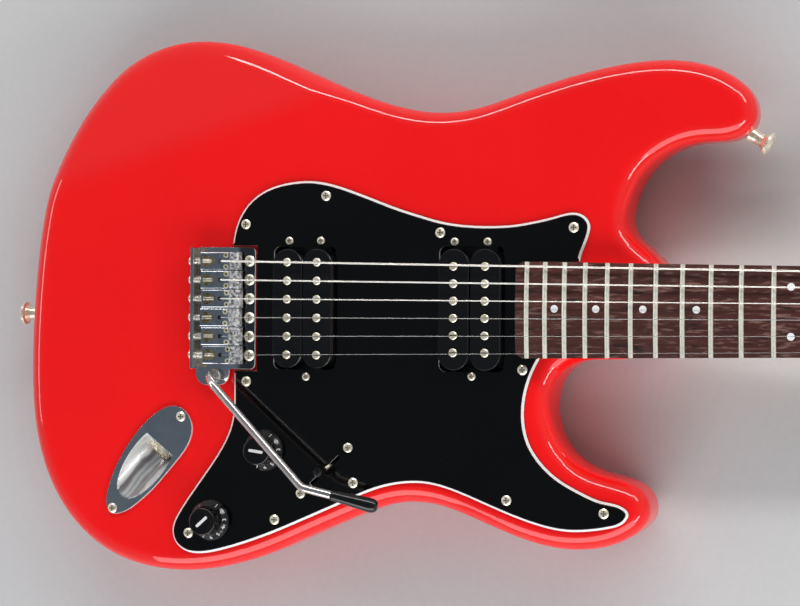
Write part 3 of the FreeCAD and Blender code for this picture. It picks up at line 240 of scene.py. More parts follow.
def metal(name, base, dark, r0, r1, scratch=0.05, grain=None, coarse=70.0, metallic=1.0, recess_shade=0.0):
    m = Mat(name)
    m.set(Metallic=metallic)
    n = m.noise(coarse, 5.0, 0.6)
    c = m.ramp(n, [(0.30, dark), (0.62, base)])
    # painted shade: the metal darkens to dark brown deep in recesses and screw slots, by ambient occlusion
    if recess_shade:
        c = m.mix(m.hollow(recess_shade), c, (0.045, 0.028, 0.014))
    m.color(c)
    fine = m.noise(420.0, 6.0, 0.65, stretch=grain or (1.0, 3.0, 1.0))
    m.rough(m.math("MAXIMUM", m.math("MULTIPLY", m.spread(n, r0, r1), m.spread(fine, 0.75, 1.35)), 0.02))
    if scratch:
        m.bump(m.noise(900.0, 3.0, 0.6, stretch=grain or (0.15, 2.0, 1.0)), scratch, 0.00003)
    return m.m

M = {}

red = Mat("body_red")
red.set(Roughness=0.45, Coat_Weight=1.0, Coat_Roughness=0.03, Coat_IOR=1.5)
red.p.inputs["IOR"].default_value = 1.12
n1 = red.noise(7.0, 3.0, 0.5)
n2 = red.noise(190.0, 3.0, 0.5)
red.color(red.mix(red.spread(n2, 0.0, 0.12), red.ramp(n1, [(0.25, (0.84, 0.0054, 0.0058)), (0.7, (0.92, 0.0068, 0.0070))]), (0.97, 0.0105, 0.0100)))
red.rough(red.spread(n2, 0.42, 0.50))
red.bump(red.noise(45.0, 2.0, 0.5), 0.012, 0.0002)
M["body_red"] = red.m

maple = Mat("maple")
g = maple.noise(26.0, 8.0, 0.62, stretch=(0.07, 1.0, 1.0), distortion=0.35)
fig = maple.noise(9.0, 4.0, 0.5, stretch=(0.30, 1.0, 1.0), distortion=0.8)
c = maple.ramp(g, [(0.30, (0.50, 0.29, 0.12)), (0.50, (0.66, 0.43, 0.20)), (0.72, (0.74, 0.52, 0.27))])
maple.color(maple.mix(maple.spread(fig, 0.0, 0.45), c, (0.60, 0.36, 0.15)))
maple.set(Coat_Weight=0.5, Coat_Roughness=0.18)
maple.rough(maple.spread(g, 0.52, 0.36))
maple.bump(maple.noise(160.0, 6.0, 0.7, stretch=(0.04, 1.0, 1.0)), 0.06, 0.0001)
M["maple"] = maple.m

rose = Mat("rosewood")
g = rose.noise(34.0, 9.0, 0.66, stretch=(0.05, 1.0, 1.0), distortion=0.6)
bnd = rose.noise(11.0, 5.0, 0.55, stretch=(0.09, 1.0, 1.0), distortion=1.2)
pores = rose.noise(430.0, 4.0, 0.6, stretch=(0.13, 1.0, 1.0), distortion=0.3)
c = rose.ramp(g, [(0.28, (0.022, 0.007, 0.006)), (0.50, (0.070, 0.021, 0.017)), (0.74, (0.150, 0.046, 0.034))])
curl = rose.noise(560.0, 4.0, 0.6, stretch=(0.16, 1.0, 1.0), distortion=0.25)
c = rose.mix(rose.spread(curl, 0.0, 0.70, 0.53, 0.66), c, (0.30, 0.165, 0.135))
c = rose.mix(rose.spread(bnd, 0.0, 0.75, 0.42, 0.66), c, (0.040, 0.018, 0.014))
c = rose.mix(rose.spread(pores, 0.85, 0.0, 0.34, 0.45), c, (0.012, 0.006, 0.005))
rose.color(c)
rose.rough(rose.spread(pores, 0.66, 0.44, 0.3, 0.6))
rose.p.inputs["IOR"].default_value = 1.34
rose.bump(pores, 0.22, 0.00012)
M["rosewood"] = rose.m

M["fretwire"] = metal("fretwire", (0.97, 0.96, 0.83), (0.84, 0.82, 0.68), 0.24, 0.40, 0.08, grain=(2.0, 0.2, 1.0), metallic=0.45)
M["chrome"] = metal("chrome", (0.86, 0.88, 0.91), (0.74, 0.76, 0.80), 0.035, 0.11, 0.02)
M["nickel"] = metal("nickel", (0.95, 0.89, 0.74), (0.78, 0.68, 0.47), 0.20, 0.36, 0.06, coarse=260.0, metallic=0.62, recess_shade=1.1)
M["steel"] = metal("steel", (0.62, 0.63, 0.64), (0.40, 0.40, 0.41), 0.22, 0.42, 0.12, grain=(0.2, 2.5, 1.0), coarse=150.0)
M["arm_chrome"] = metal("arm_chrome", (0.70, 0.655, 0.64), (0.56, 0.52, 0.50), 0.10, 0.20, 0.03, coarse=110.0, metallic=0.88)
# near-white, mostly diffuse rim material: a painted highlight on the lit plate edges
M["chrome_painted_rim_highlight"] = metal("chrome_painted_rim_highlight", (0.97, 0.97, 0.95), (0.84, 0.84, 0.83), 0.22, 0.34, 0.03, coarse=300.0, metallic=0.30)
M["nickel_wire"] = metal("nickel_wire", (0.90, 0.87, 0.80), (0.70, 0.66, 0.58), 0.16, 0.30, 0.04, coarse=300.0, metallic=0.8)
M["steel_dark"] = metal("steel_dark", (0.10, 0.10, 0.10), (0.04, 0.04, 0.04), 0.4, 0.6, 0.1, coarse=150.0)
M["brass"] = metal("brass", (0.80, 0.60, 0.28), (0.52, 0.36, 0.14), 0.18, 0.34, 0.10, coarse=180.0)
M["magnet"] = metal("magnet", (0.30, 0.30, 0.31), (0.16, 0.16, 0.17), 0.4, 0.6, 0.2)

sad = Mat("saddle_chrome")
flat = sad.noise(300.0, 5.0, 0.6)
rust = sad.noise(620.0, 4.0, 0.65)
pocket = sad.math("MULTIPLY", sad.math("SUBTRACT", 1.0, sad.step(2, ZT + 9.6, ZT + 10.2)), sad.math("SUBTRACT", 1.0, sad.step(0, -7.0, -5.6)))
front = sad.step(0, -0.4, 0.8)
c = sad.ramp(flat, [(0.3, (0.60, 0.63, 0.68)), (0.68, (0.80, 0.83, 0.88))])
c = sad.mix(front, c, sad.ramp(rust, [(0.36, (0.10, 0.10, 0.11)), (0.47, (0.45, 0.44, 0.43)), (0.56, (0.95, 0.95, 0.95))]))
c = sad.mix(sad.math("MULTIPLY", pocket, 0.95), c, sad.ramp(rust, [(0.35, (0.40, 0.30, 0.14)), (0.6, (0.86, 0.76, 0.52))]))
# painted shade: darker deep in the saddles' recesses, by ambient occlusion
c = sad.mix(sad.hollow(1.6, 0.15, 0.5), c, (0.03, 0.025, 0.02))
sad.color(c)
sad.rough(sad.math("ADD", sad.spread(flat, 0.06, 0.16), sad.math("MULTIPLY", sad.math("ADD", pocket, front), 0.14)))
sad.link(sad.math("SUBTRACT", 1.0, sad.math("MULTIPLY", sad.math("MAXIMUM", pocket, front), 0.38)), sad.p.inputs["Metallic"])
sad.bump(sad.math("MULTIPLY", rust, front), 0.7, 0.0005)
M["saddle_chrome"] = sad.m

bpl = Mat("bridge_chrome")
flat = bpl.noise(90.0, 5.0, 0.6)
wear_and_painted_light = bpl.noise(520.0, 4.0, 0.6)
trough = bpl.math("MULTIPLY", bpl.band(0, -22.6, -17.4, 0.5), bpl.band(1, -35.4, 35.4, 0.4))
c = bpl.ramp(flat, [(0.3, (0.68, 0.71, 0.75)), (0.65, (0.84, 0.86, 0.89))])
c = bpl.mix(bpl.math("MULTIPLY", trough, 0.9), c, bpl.ramp(wear_and_painted_light, [(0.36, (0.20, 0.13, 0.07)), (0.62, (0.62, 0.50, 0.34))]))
# painted reflection: the plate ahead of the saddles is painted near black, for the dark surroundings it mirrors
front_painted_dark = bpl.math("MULTIPLY", bpl.step(0, 2.2, 4.2), bpl.spread(wear_and_painted_light, 0.93, 0.80))
c = bpl.mix(front_painted_dark, c, (0.085, 0.085, 0.092))
# painted highlight: a near-white, less metallic rim on the top edges turning towards +x, -y
where = bpl.math("MAXIMUM", bpl.step(0, 0.0, 2.0), bpl.math("SUBTRACT", 1.0, bpl.step(1, -37.2, -36.6)))
painted_rim_highlight = bpl.math("MULTIPLY", bpl.math("MULTIPLY", bpl.painted_rim_highlight(0.7, (0.8, -0.6, 0.0)), bpl.step(2, ZT + 3.0, ZT + 3.4)), where)
c = bpl.mix(painted_rim_highlight, c, (0.96, 0.96, 0.95))
bpl.color(c)
bpl.rough(bpl.math("ADD", bpl.spread(flat, 0.04, 0.12), bpl.math("MULTIPLY", trough, 0.16)))
bpl.link(bpl.math("SUBTRACT", 1.0, bpl.math("ADD", bpl.math("MULTIPLY", trough, 0.45), bpl.math("MULTIPLY", painted_rim_highlight, 0.55))), bpl.p.inputs["Metallic"])
bpl.bump(wear_and_painted_light, 0.02, 0.00005)
M["bridge_chrome"] = bpl.m

jk = Mat("jack_chrome")
flat = jk.noise(80.0, 5.0, 0.6)
dish = jk.math("SUBTRACT", 1.0, jk.step(2, ZT + 0.5, ZT + 1.3))
jvs = [v.co for v in nodes["jack_plate"].data.vertices]
jcx, jcy = [(min(v[k] for v in jvs) + max(v[k] for v in jvs)) / 2 for k in (0, 1)]
# painted reflections: bright and dark bands across the cup, with less metallic, for what its mirror dish would show
across = jk.math("ADD", jk.math("MULTIPLY", jk.math("SUBTRACT", jk.axis(0), jcx), 0.80), jk.math("MULTIPLY", jk.math("SUBTRACT", jk.axis(1), jcy), -0.60))
across = jk.math("ADD", across, jk.spread(jk.noise(55.0, 2.0), -0.0014, 0.0014))
painted_reflection_bands = jk.ramp(jk.spread(across, 0.0, 1.0, -0.0085, 0.0085), [(0.0, (1.0, 1.0, 0.99)), (0.12, (1.0, 0.99, 0.98)), (0.19, (0.30, 0.26, 0.26)), (0.30, (0.36, 0.32, 0.31)),
                                                               (0.41, (0.99, 0.98, 0.97)), (0.50, (0.60, 0.56, 0.54)), (0.60, (0.98, 0.97, 0.96)), (0.70, (0.46, 0.42, 0.41)), (0.88, (0.34, 0.30, 0.30)), (1.0, (0.90, 0.89, 0.88))])
# painted highlight: a near-white, less metallic lip on the plate's edges turning towards +x, -y
painted_rim_highlight = jk.math("MULTIPLY", jk.painted_rim_highlight(1.0, (0.8, -0.6, 0.0)), jk.math("SUBTRACT", 1.0, dish))
jk.color(jk.mix(painted_rim_highlight, jk.mix(dish, jk.ramp(flat, [(0.3, (0.72, 0.75, 0.79)), (0.65, (0.86, 0.88, 0.91))]), painted_reflection_bands), (0.97, 0.97, 0.96)))
jk.rough(jk.math("ADD", jk.spread(flat, 0.04, 0.12), jk.math("MULTIPLY", dish, 0.10)))
jk.link(jk.math("SUBTRACT", 1.0, jk.math("ADD", jk.math("MULTIPLY", dish, 0.42), jk.math("MULTIPLY", painted_rim_highlight, 0.60))), jk.p.inputs["Metallic"])
jk.bump(jk.noise(500.0, 3.0), 0.02, 0.00004)
M["jack_chrome"] = jk.m

bone = Mat("bone")
n1 = bone.noise(120.0, 5.0, 0.6, stretch=(1.0, 0.3, 1.0))
bone.color(bone.ramp(n1, [(0.3, (0.76, 0.71, 0.58)), (0.7, (0.88, 0.85, 0.75))]))
bone.rough(bone.spread(n1, 0.42, 0.26))
bone.set(Subsurface_Weight=0.08)
bone.bump(bone.noise(500.0, 3.0), 0.05, 0.00005)
M["bone"] = bone.m

pearl = Mat("pearl")
v = pearl.noise(210.0, 5.0, 0.6, distortion=1.6)
w = pearl.noise(75.0, 2.0, 0.5, distortion=0.8)
c = pearl.ramp(v, [(0.30, (0.78, 0.80, 0.78)), (0.45, (0.92, 0.91, 0.90)), (0.58, (0.86, 0.88, 0.89)), (0.72, (0.96, 0.94, 0.92))])
pearl.color(pearl.mix(pearl.spread(w, 0.0, 0.4), c, (0.95, 0.93, 0.90)))
pearl.set(Coat_Weight=0.4, Coat_Roughness=0.06)
pearl.rough(pearl.spread(v, 0.18, 0.34))
M["pearl"] = pearl.m


def ply(name, z0, z1, black, white):
    """Three-ply sheet: black, white and black again through its thickness."""
    m = Mat(name)
    t = m.spread(m.axis(2), 0.0, 1.0, z0 * MM, z1 * MM)
    layers = m.ramp(t, [(0.0, (0, 0, 0)), (0.20, (1, 1, 1)), (0.80, (0, 0, 0))], "CONSTANT")
    n = m.noise(14.0, 3.0)
    fine = m.noise(700.0, 2.0)
    dust = m.voronoi(460.0)
    dark = m.mix(m.spread(dust, 0.5, 0.0, 0.0, 0.16), m.ramp(n, [(0.3, black), (0.7, tuple(c * 1.5 for c in black))]), (0.022, 0.022, 0.023))
    pale = m.ramp(fine, [(0.3, tuple(c * 0.86 for c in white)), (0.7, white)])
    m.color(m.mix(layers, dark, pale))
    m.rough(m.spread(fine, 0.05, 0.12))
    m.p.inputs["IOR"].default_value = 1.46
    m.bump(m.noise(38.0, 2.0), 0.02, 0.0002)
    return m.m

M["guard_black"] = ply("guard_black", ZT, ZT + GUARD_T, (0.0012, 0.0012, 0.0013), (0.93, 0.93, 0.91))


def moulded(name, base, r0, r1, speck=0.35, scale=500.0, coat=0.0, cloud=1.35):
    m = Mat(name)
    n = m.noise(30.0, 3.0)
    v = m.voronoi(scale)
    light = tuple(min(1.0, c * 2.6 + 0.02) for c in base)
    m.color(m.mix(m.spread(v, speck, 0.0, 0.0, 0.14), m.ramp(n, [(0.3, base), (0.7, tuple(min(1.0, c * cloud) for c in base))]), light))
    m.rough(m.spread(m.noise(180.0, 4.0), r0, r1))
    if coat:
        m.set(Coat_Weight=coat, Coat_Roughness=0.05)
    m.bump(m.noise(800.0, 3.0), 0.05, 0.00004)
    return m.m

M["bobbin_black"] = moulded("bobbin_black", (0.0035, 0.0035, 0.004), 0.12, 0.24)
M["knob_black"] = moulded("knob_black", (0.0028, 0.0028, 0.0032), 0.07, 0.16, 0.2)
M["tip_black"] = moulded("tip_black", (0.004, 0.004, 0.0045), 0.10, 0.20, 0.2)
M["cover_white"] = moulded("cover_white", (0.74, 0.73, 0.69), 0.22, 0.34, 0.12, cloud=1.05)
coil = Mat("coil_wire")
wv = coil.wave(900.0, "Z", 1.0)
coil.color(coil.ramp(wv, [(0.2, (0.012, 0.009, 0.009)), (0.8, (0.070, 0.056, 0.050))]))
coil.rough(coil.spread(wv, 0.5, 0.3))
coil.bump(wv, 0.4, 0.0001)
M["coil_wire"] = coil.m

# black cavity paint; round the jack bore it is painted shade, for the dark inside of the bore
cavity_paint_and_shade = Mat("cavity_black")
pn = cavity_paint_and_shade.noise(120.0, 4.0)
cavity_paint_and_shade.color(cavity_paint_and_shade.ramp(pn, [(0.3, (0.006, 0.006, 0.006)), (0.7, (0.016, 0.016, 0.015))]))
cavity_paint_and_shade.rough(cavity_paint_and_shade.spread(pn, 0.55, 0.75))
M["cavity_black"] = cavity_paint_and_shade.m

mark = Mat("mark_white")
nz = mark.noise(600.0, 3.0)
mark.color(mark.ramp(nz, [(0.3, (0.72, 0.72, 0.70)), (0.7, (0.86, 0.86, 0.84))]))
mark.rough(mark.spread(nz, 0.4, 0.55))
M["mark_white"] = mark.m

wire = Mat("string_wire")
wire.set(Metallic=0.72)
turns = wire.wave(560.0, "X", 0.0, 0.0)
wound = wire.spread(wire.axis(1), 0.0, 1.0, 0.0015, 0.0030)
streak = wire.noise(55.0, 4.0, 0.6, stretch=(0.2, 2.0, 2.0))
# painted shade: darker in the grooves between the windings
groove = wire.math("MULTIPLY", wire.math("SUBTRACT", 1.0, turns), wound)
c = wire.mix(wound, wire.ramp(streak, [(0.3, (0.30, 0.29, 0.27)), (0.7, (0.46, 0.45, 0.43))]), wire.ramp(streak, [(0.3, (0.96, 0.93, 0.84)), (0.7, (1.0, 0.98, 0.92))]))
wire.color(wire.mix(wire.math("MULTIPLY", groove, 0.35), c, (0.45, 0.40, 0.32)))
wire.rough(wire.math("ADD", wire.spread(streak, 0.14, 0.24), wire.math("MULTIPLY", wound, 0.06)))
wire.bump(wire.math("MULTIPLY", turns, wound), 0.22, 0.0001)
M["string_wire"] = wire.m

SLOT_OF = {}
for key, names in {
        "body_red": "body", "maple": "neck", "rosewood": "fingerboard", "fretwire": "frets", "bone": "nut", "pearl": "position_dots",
        "steel": "truss_rod control_pots switch_frame spring_claw trem_springs bridge_block pickup_springs intonation_springs",
        "nickel": "string_trees neck_screws strap_buttons claw_and_strap_screws plate_screws output_jack pickup_pole_screws pickup_height_screws "
                  "pot_nuts switch_screws bridge_pivot_screws intonation_screws switch_lever saddle_height_screws",
        "bridge_chrome": "bridge_plate", "arm_chrome": "vibrato_arm",
        "jack_chrome": "jack_plate",
        "chrome": "tuner_housings tuner_bushings neck_plate " +
                  " ".join("tuner_button_%d tuner_post_%d" % (k, k) for k in range(1, 7)),
        "saddle_chrome": "saddles", "guard_black": "pickguard", "bobbin_black": "pickup_bobbins", "coil_wire": "pickup_coils",
        "steel_dark": "pickup_baseplates", "brass": "volume_shaft tone_shaft", "magnet": "pickup_magnets", "cover_white": "back_cover",
        "string_wire": "strings", "tip_black": "arm_tip switch_tip", "knob_black": "volume_knob tone_knob"}.items():
    for nm in names.split():
        SLOT_OF[nm] = key
for nm, ob in nodes.items():
    mats = ob.data.materials
    key = M[SLOT_OF[nm]]
    if len(mats) == 0:
        mats.append(key)
    for k in range(len(mats)):
        mats[k] = key


# ------------------------------------------------------------------ geometry helpers
def new_object(name, mesh, material=None, body=None, angle=35.0):
    ob = bpy.data.objects.new(name, mesh)
    scene.collection.objects.link(ob)
    if material is not None:
        mesh.materials.clear()
        mesh.materials.append(material)
    for p in mesh.polygons:
        p.use_smooth = True
    if angle is not None:
        mesh.set_sharp_from_angle(angle=math.radians(angle))
    if body:
        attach(ob, body)
    return ob


def from_data(name, verts, faces, material=None, body=None, angle=35.0, merge=1e-6):
    me = bpy.data.meshes.new(name)
    bm = bmesh.new()
    vs = [bm.verts.new((x * MM, y * MM, z * MM)) for x, y, z in verts]
    for f in faces:
        try:
            bm.faces.new([vs[k] for k in f])
        except ValueError:
            pass
    if merge:
        bmesh.ops.remove_doubles(bm, verts=bm.verts, dist=merge)
    loose = [v for v in bm.verts if not v.link_faces]
    if loose:
        bmesh.ops.delete(bm, geom=loose, context="VERTS")
    bmesh.ops.recalc_face_normals(bm, faces=bm.faces)
    bm.to_mesh(me)
    bm.free()
    return new_object(name, me, material, body, angle)


def closed_spline(pts, n):
    """Periodic cubic through the points, by chord length."""
    P = np.array(pts, float)
    m = len(P)
    h = np.linalg.norm(np.roll(P, -1, 0) - P, axis=1)
    A = np.zeros((m, m))
    B = np.zeros((m, P.shape[1]))
    for i in range(m):
        hp, hn = h[i - 1], h[i]
        A[i, i - 1] += hp
        A[i, i] += 2 * (hp + hn)
        A[i, (i + 1) % m] += hn
        B[i] = 6 * ((P[(i + 1) % m] - P[i]) / hn - (P[i] - P[i - 1]) / hp)
    S = np.linalg.solve(A, B)
    T = np.concatenate([[0], np.cumsum(h)])
    u = np.linspace(0, T[-1], n, endpoint=False)
    out = []
    for q in u:
        i = min(int(np.searchsorted(T, q, "right")) - 1, m - 1)
        j = (i + 1) % m
        a, b = (T[i + 1] - q) / h[i], (q - T[i]) / h[i]
        out.append(a * P[i] + b * P[j] + ((a ** 3 - a) * S[i] + (b ** 3 - b) * S[j]) * h[i] ** 2 / 6)
    return np.array(out)


def inside(points, poly):
    """Which of the points lie in the closed polygon."""
    x, y = points[:, 0], points[:, 1]
    res = np.zeros(len(points), bool)
    px, py = poly[:, 0], poly[:, 1]
    qx, qy = np.roll(px, -1), np.roll(py, -1)
    for a, b, c_, d in zip(px, py, qx, qy):
        if b == d:
            continue
        hit = ((b > y) != (d > y)) & (x < (c_ - a) * (y - b) / (d - b) + a)
        res ^= hit
    return res


def apply_modifiers(ob):
    dg = bpy.context.evaluated_depsgraph_get()
    me = bpy.data.meshes.new_from_object(ob.evaluated_get(dg))
    ob.modifiers.clear()
    old = ob.data
    ob.data = me
    bpy.data.meshes.remove(old)
    return ob


def lathe(name, profile, centre, material, body, steps=96, axis=(0, 0, 1), flute=None, angle=32.0):
    """Turned piece. profile is (radius, height) from one end to the other; flute(a, r, h) may change the radius."""
    ax = Vector(axis).normalized()
    ref = Vector((1, 0, 0)) if abs(ax.x) < 0.9 else Vector((0, 1, 0))
    e1 = (ref - ax * ref.dot(ax)).normalized()
    e2 = ax.cross(e1)
    c0 = Vector(centre)
    verts, faces, rows = [], [], []
    for r, h in profile:
        if r < 1e-6:
            rows.append([len(verts)])
            verts.append(tuple(c0 + ax * h))
        else:
            row = []
            for k in range(steps):
                a = 2 * math.pi * k / steps
                rr = flute(a, r, h) if flute else r
                row.append(len(verts))
                verts.append(tuple(c0 + ax * h + e1 * (rr * math.cos(a)) + e2 * (rr * math.sin(a))))
            rows.append(row)
    for a, b in zip(rows[:-1], rows[1:]):
        for k in range(steps):
            q = (k + 1) % steps
            if len(a) == 1 and len(b) == 1:
                continue
            if len(a) == 1:
                faces.append((a[0], b[q], b[k]))
            elif len(b) == 1:
                faces.append((a[k], a[q], b[0]))
            else:
                faces.append((a[k], a[q], b[q], b[k]))
    return from_data(name, verts, faces, material, body, angle)


def tube(name, path, radius, material, body=None, sides=10, closed_ends=True, angle=60.0):
    """Round tube of constant or varying radius along a list of points, in mm."""
    P = [Vector(p) for p in path]
    n = len(P)
    verts, faces = [], []
    t = (P[1] - P[0]).normalized()
    up = Vector((0, 0, 1)) if abs(t.z) < 0.9 else Vector((1, 0, 0))
    e1 = (up - t * up.dot(t)).normalized()
    for i in range(n):
        a = P[max(i - 1, 0)]
        b = P[min(i + 1, n - 1)]
        t = (b - a).normalized()
        e1 = (e1 - t * e1.dot(t)).normalized()
        e2 = t.cross(e1)
        r = radius(i) if callable(radius) else radius
        for k in range(sides):
            q = 2 * math.pi * k / sides
            verts.append(tuple(P[i] + e1 * (r * math.cos(q)) + e2 * (r * math.sin(q))))
    for i in range(n - 1):
        for k in range(sides):
            q = (k + 1) % sides
            faces.append((i * sides + k, i * sides + q, (i + 1) * sides + q, (i + 1) * sides + k))
    if closed_ends:
        faces.append(tuple(reversed(range(sides))))
        faces.append(tuple((n - 1) * sides + k for k in range(sides)))
    return from_data(name, verts, faces, material, body, angle)


def edged(node, width, angle=38.0, segments=2, material=None, rim=None):
    """Copy of a CAD node with its sharp edges broken, as on a real finished part."""
    src = nodes[node]
    me = src.data.copy()
    bm = bmesh.new()
    bm.from_mesh(me)
    bmesh.ops.remove_doubles(bm, verts=bm.verts, dist=2e-6)
    bmesh.ops.dissolve_degenerate(bm, dist=1e-6, edges=bm.edges)
    bmesh.ops.dissolve_limit(bm, angle_limit=math.radians(0.6), verts=bm.verts, edges=bm.edges, delimit=set())
    hard = [e for e in bm.edges if len(e.link_faces) == 2 and e.calc_face_angle(0.0) > math.radians(angle)]
    bmesh.ops.bevel(bm, geom=hard, offset=width * MM, offset_type="OFFSET", segments=segments, profile=0.5, affect="EDGES", clamp_overlap=True, miter_outer="SHARP")
    # painted highlight: small bevel faces turned towards +x, -y get the near-white rim material
    if rim is not None:
        lay = bm.faces.layers.int.new("wear_and_painted_light")
        bm.normal_update()
        for f in (f for f in bm.faces if 0.12 < f.normal.z < 0.985 and f.calc_center_median().z > (ZT + 1.0) * MM and f.calc_area() < 4e-6):
            if f.normal.x * 0.77 - f.normal.y * 0.64 > -0.10:
                f[lay] = 1
    bm.to_mesh(me)
    bm.free()
    for nm2 in ("custom_normal",):
        if nm2 in me.attributes:
            me.attributes.remove(me.attributes[nm2])
    ob = new_object(node + "_finished", me, material or M[SLOT_OF[node]], None, 32.0)
    wn = ob.modifiers.new("w", "WEIGHTED_NORMAL")
    wn.weight = 100
    wn.keep_sharp = True
    apply_modifiers(ob)
    if rim is not None:
        me = ob.data
        me.materials.append(rim)
        wear_and_painted_light = [d.value for d in me.attributes["wear_and_painted_light"].data]
        for poly, w1 in zip(me.polygons, wear_and_painted_light):
            poly.material_index = 1 if w1 else 0
        me.attributes.remove(me.attributes["wear_and_painted_light"])
    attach(ob, src["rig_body"])
    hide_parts(node)
    return ob


# ------------------------------------------------------------------ body
BODY_OUTLINE = [
    (-42.1, 162.9), (-17.8, 161.9), (8.1, 155.3), (37.6, 143.6), (69.6, 129.8), (97.2, 120.3),
    (122.3, 116.1), (146.4, 118.2), (173.6, 126.6), (204.4, 135.9), (233.8, 142.0), (260.0, 143.8),
    (282.5, 140.4), (299.9, 132.0), (310.2, 119.6), (309.5, 106.0), (297.4, 97.8), (280.1, 96.4),
    (261.2, 91.2), (246.2, 79.4), (238.1, 63.4), (237.3, 47.6), (247.0, 36.6), (258.6, 24.2),
    (263.6, 6.7), (261.0, -10.5), (250.1, -23.0), (232.6, -28.1), (213.6, -28.9), (198.6, -36.0),
    (191.7, -50.9), (193.4, -68.2), (202.8, -83.8), (218.8, -93.4), (235.5, -97.8), (247.6, -104.8),
    (250.6, -117.6), (239.5, -130.2), (220.9, -137.2), (199.0, -138.3), (174.5, -133.0), (146.8, -122.5),
    (122.3, -114.8), (100.3, -114.6), (76.3, -122.3), (46.1, -135.5), (15.9, -148.5), (-10.9, -156.4),
    (-36.9, -159.4), (-61.7, -157.4), (-84.0, -150.2), (-103.1, -137.4), (-118.4, -119.7), (-129.3, -98.0),
    (-135.8, -73.0), (-138.2, -44.5), (-137.8, -11.3), (-135.4, 23.3), (-131.1, 55.1), (-124.1, 83.8),
    (-113.9, 109.4), (-100.8, 131.1), (-84.5, 147.5), (-64.6, 158.0)]
R_EDGE = 11.6


def fall(x, y, p, q, slope=17.0, radius=60.0):
    """How far the surface has dropped beyond the line p-q: eased in by an arc, then straight."""
    dx, dy = q[0] - p[0], q[1] - p[1]
    L = math.hypot(dx, dy)
    a = math.radians(slope)
    s1, d1 = radius * math.sin(a), radius * (1 - math.cos(a))
    s = (x - p[0]) * (-dy / L) + (y - p[1]) * (dx / L) + s1 - d1 / math.tan(a)
    s = np.maximum(s, 0)
    return np.where(s < s1, radius - np.sqrt(np.maximum(radius ** 2 - np.minimum(s, s1) ** 2, 0)), d1 + (s - s1) * math.tan(a))


def top_z(x, y):
    return ZT - fall(x, y, (-136.0, 68.0), (66.0, 128.0))


def bottom_z(x, y):
    return ZB + fall(x, y, (-60.0, 118.0), (150.0, 92.0))


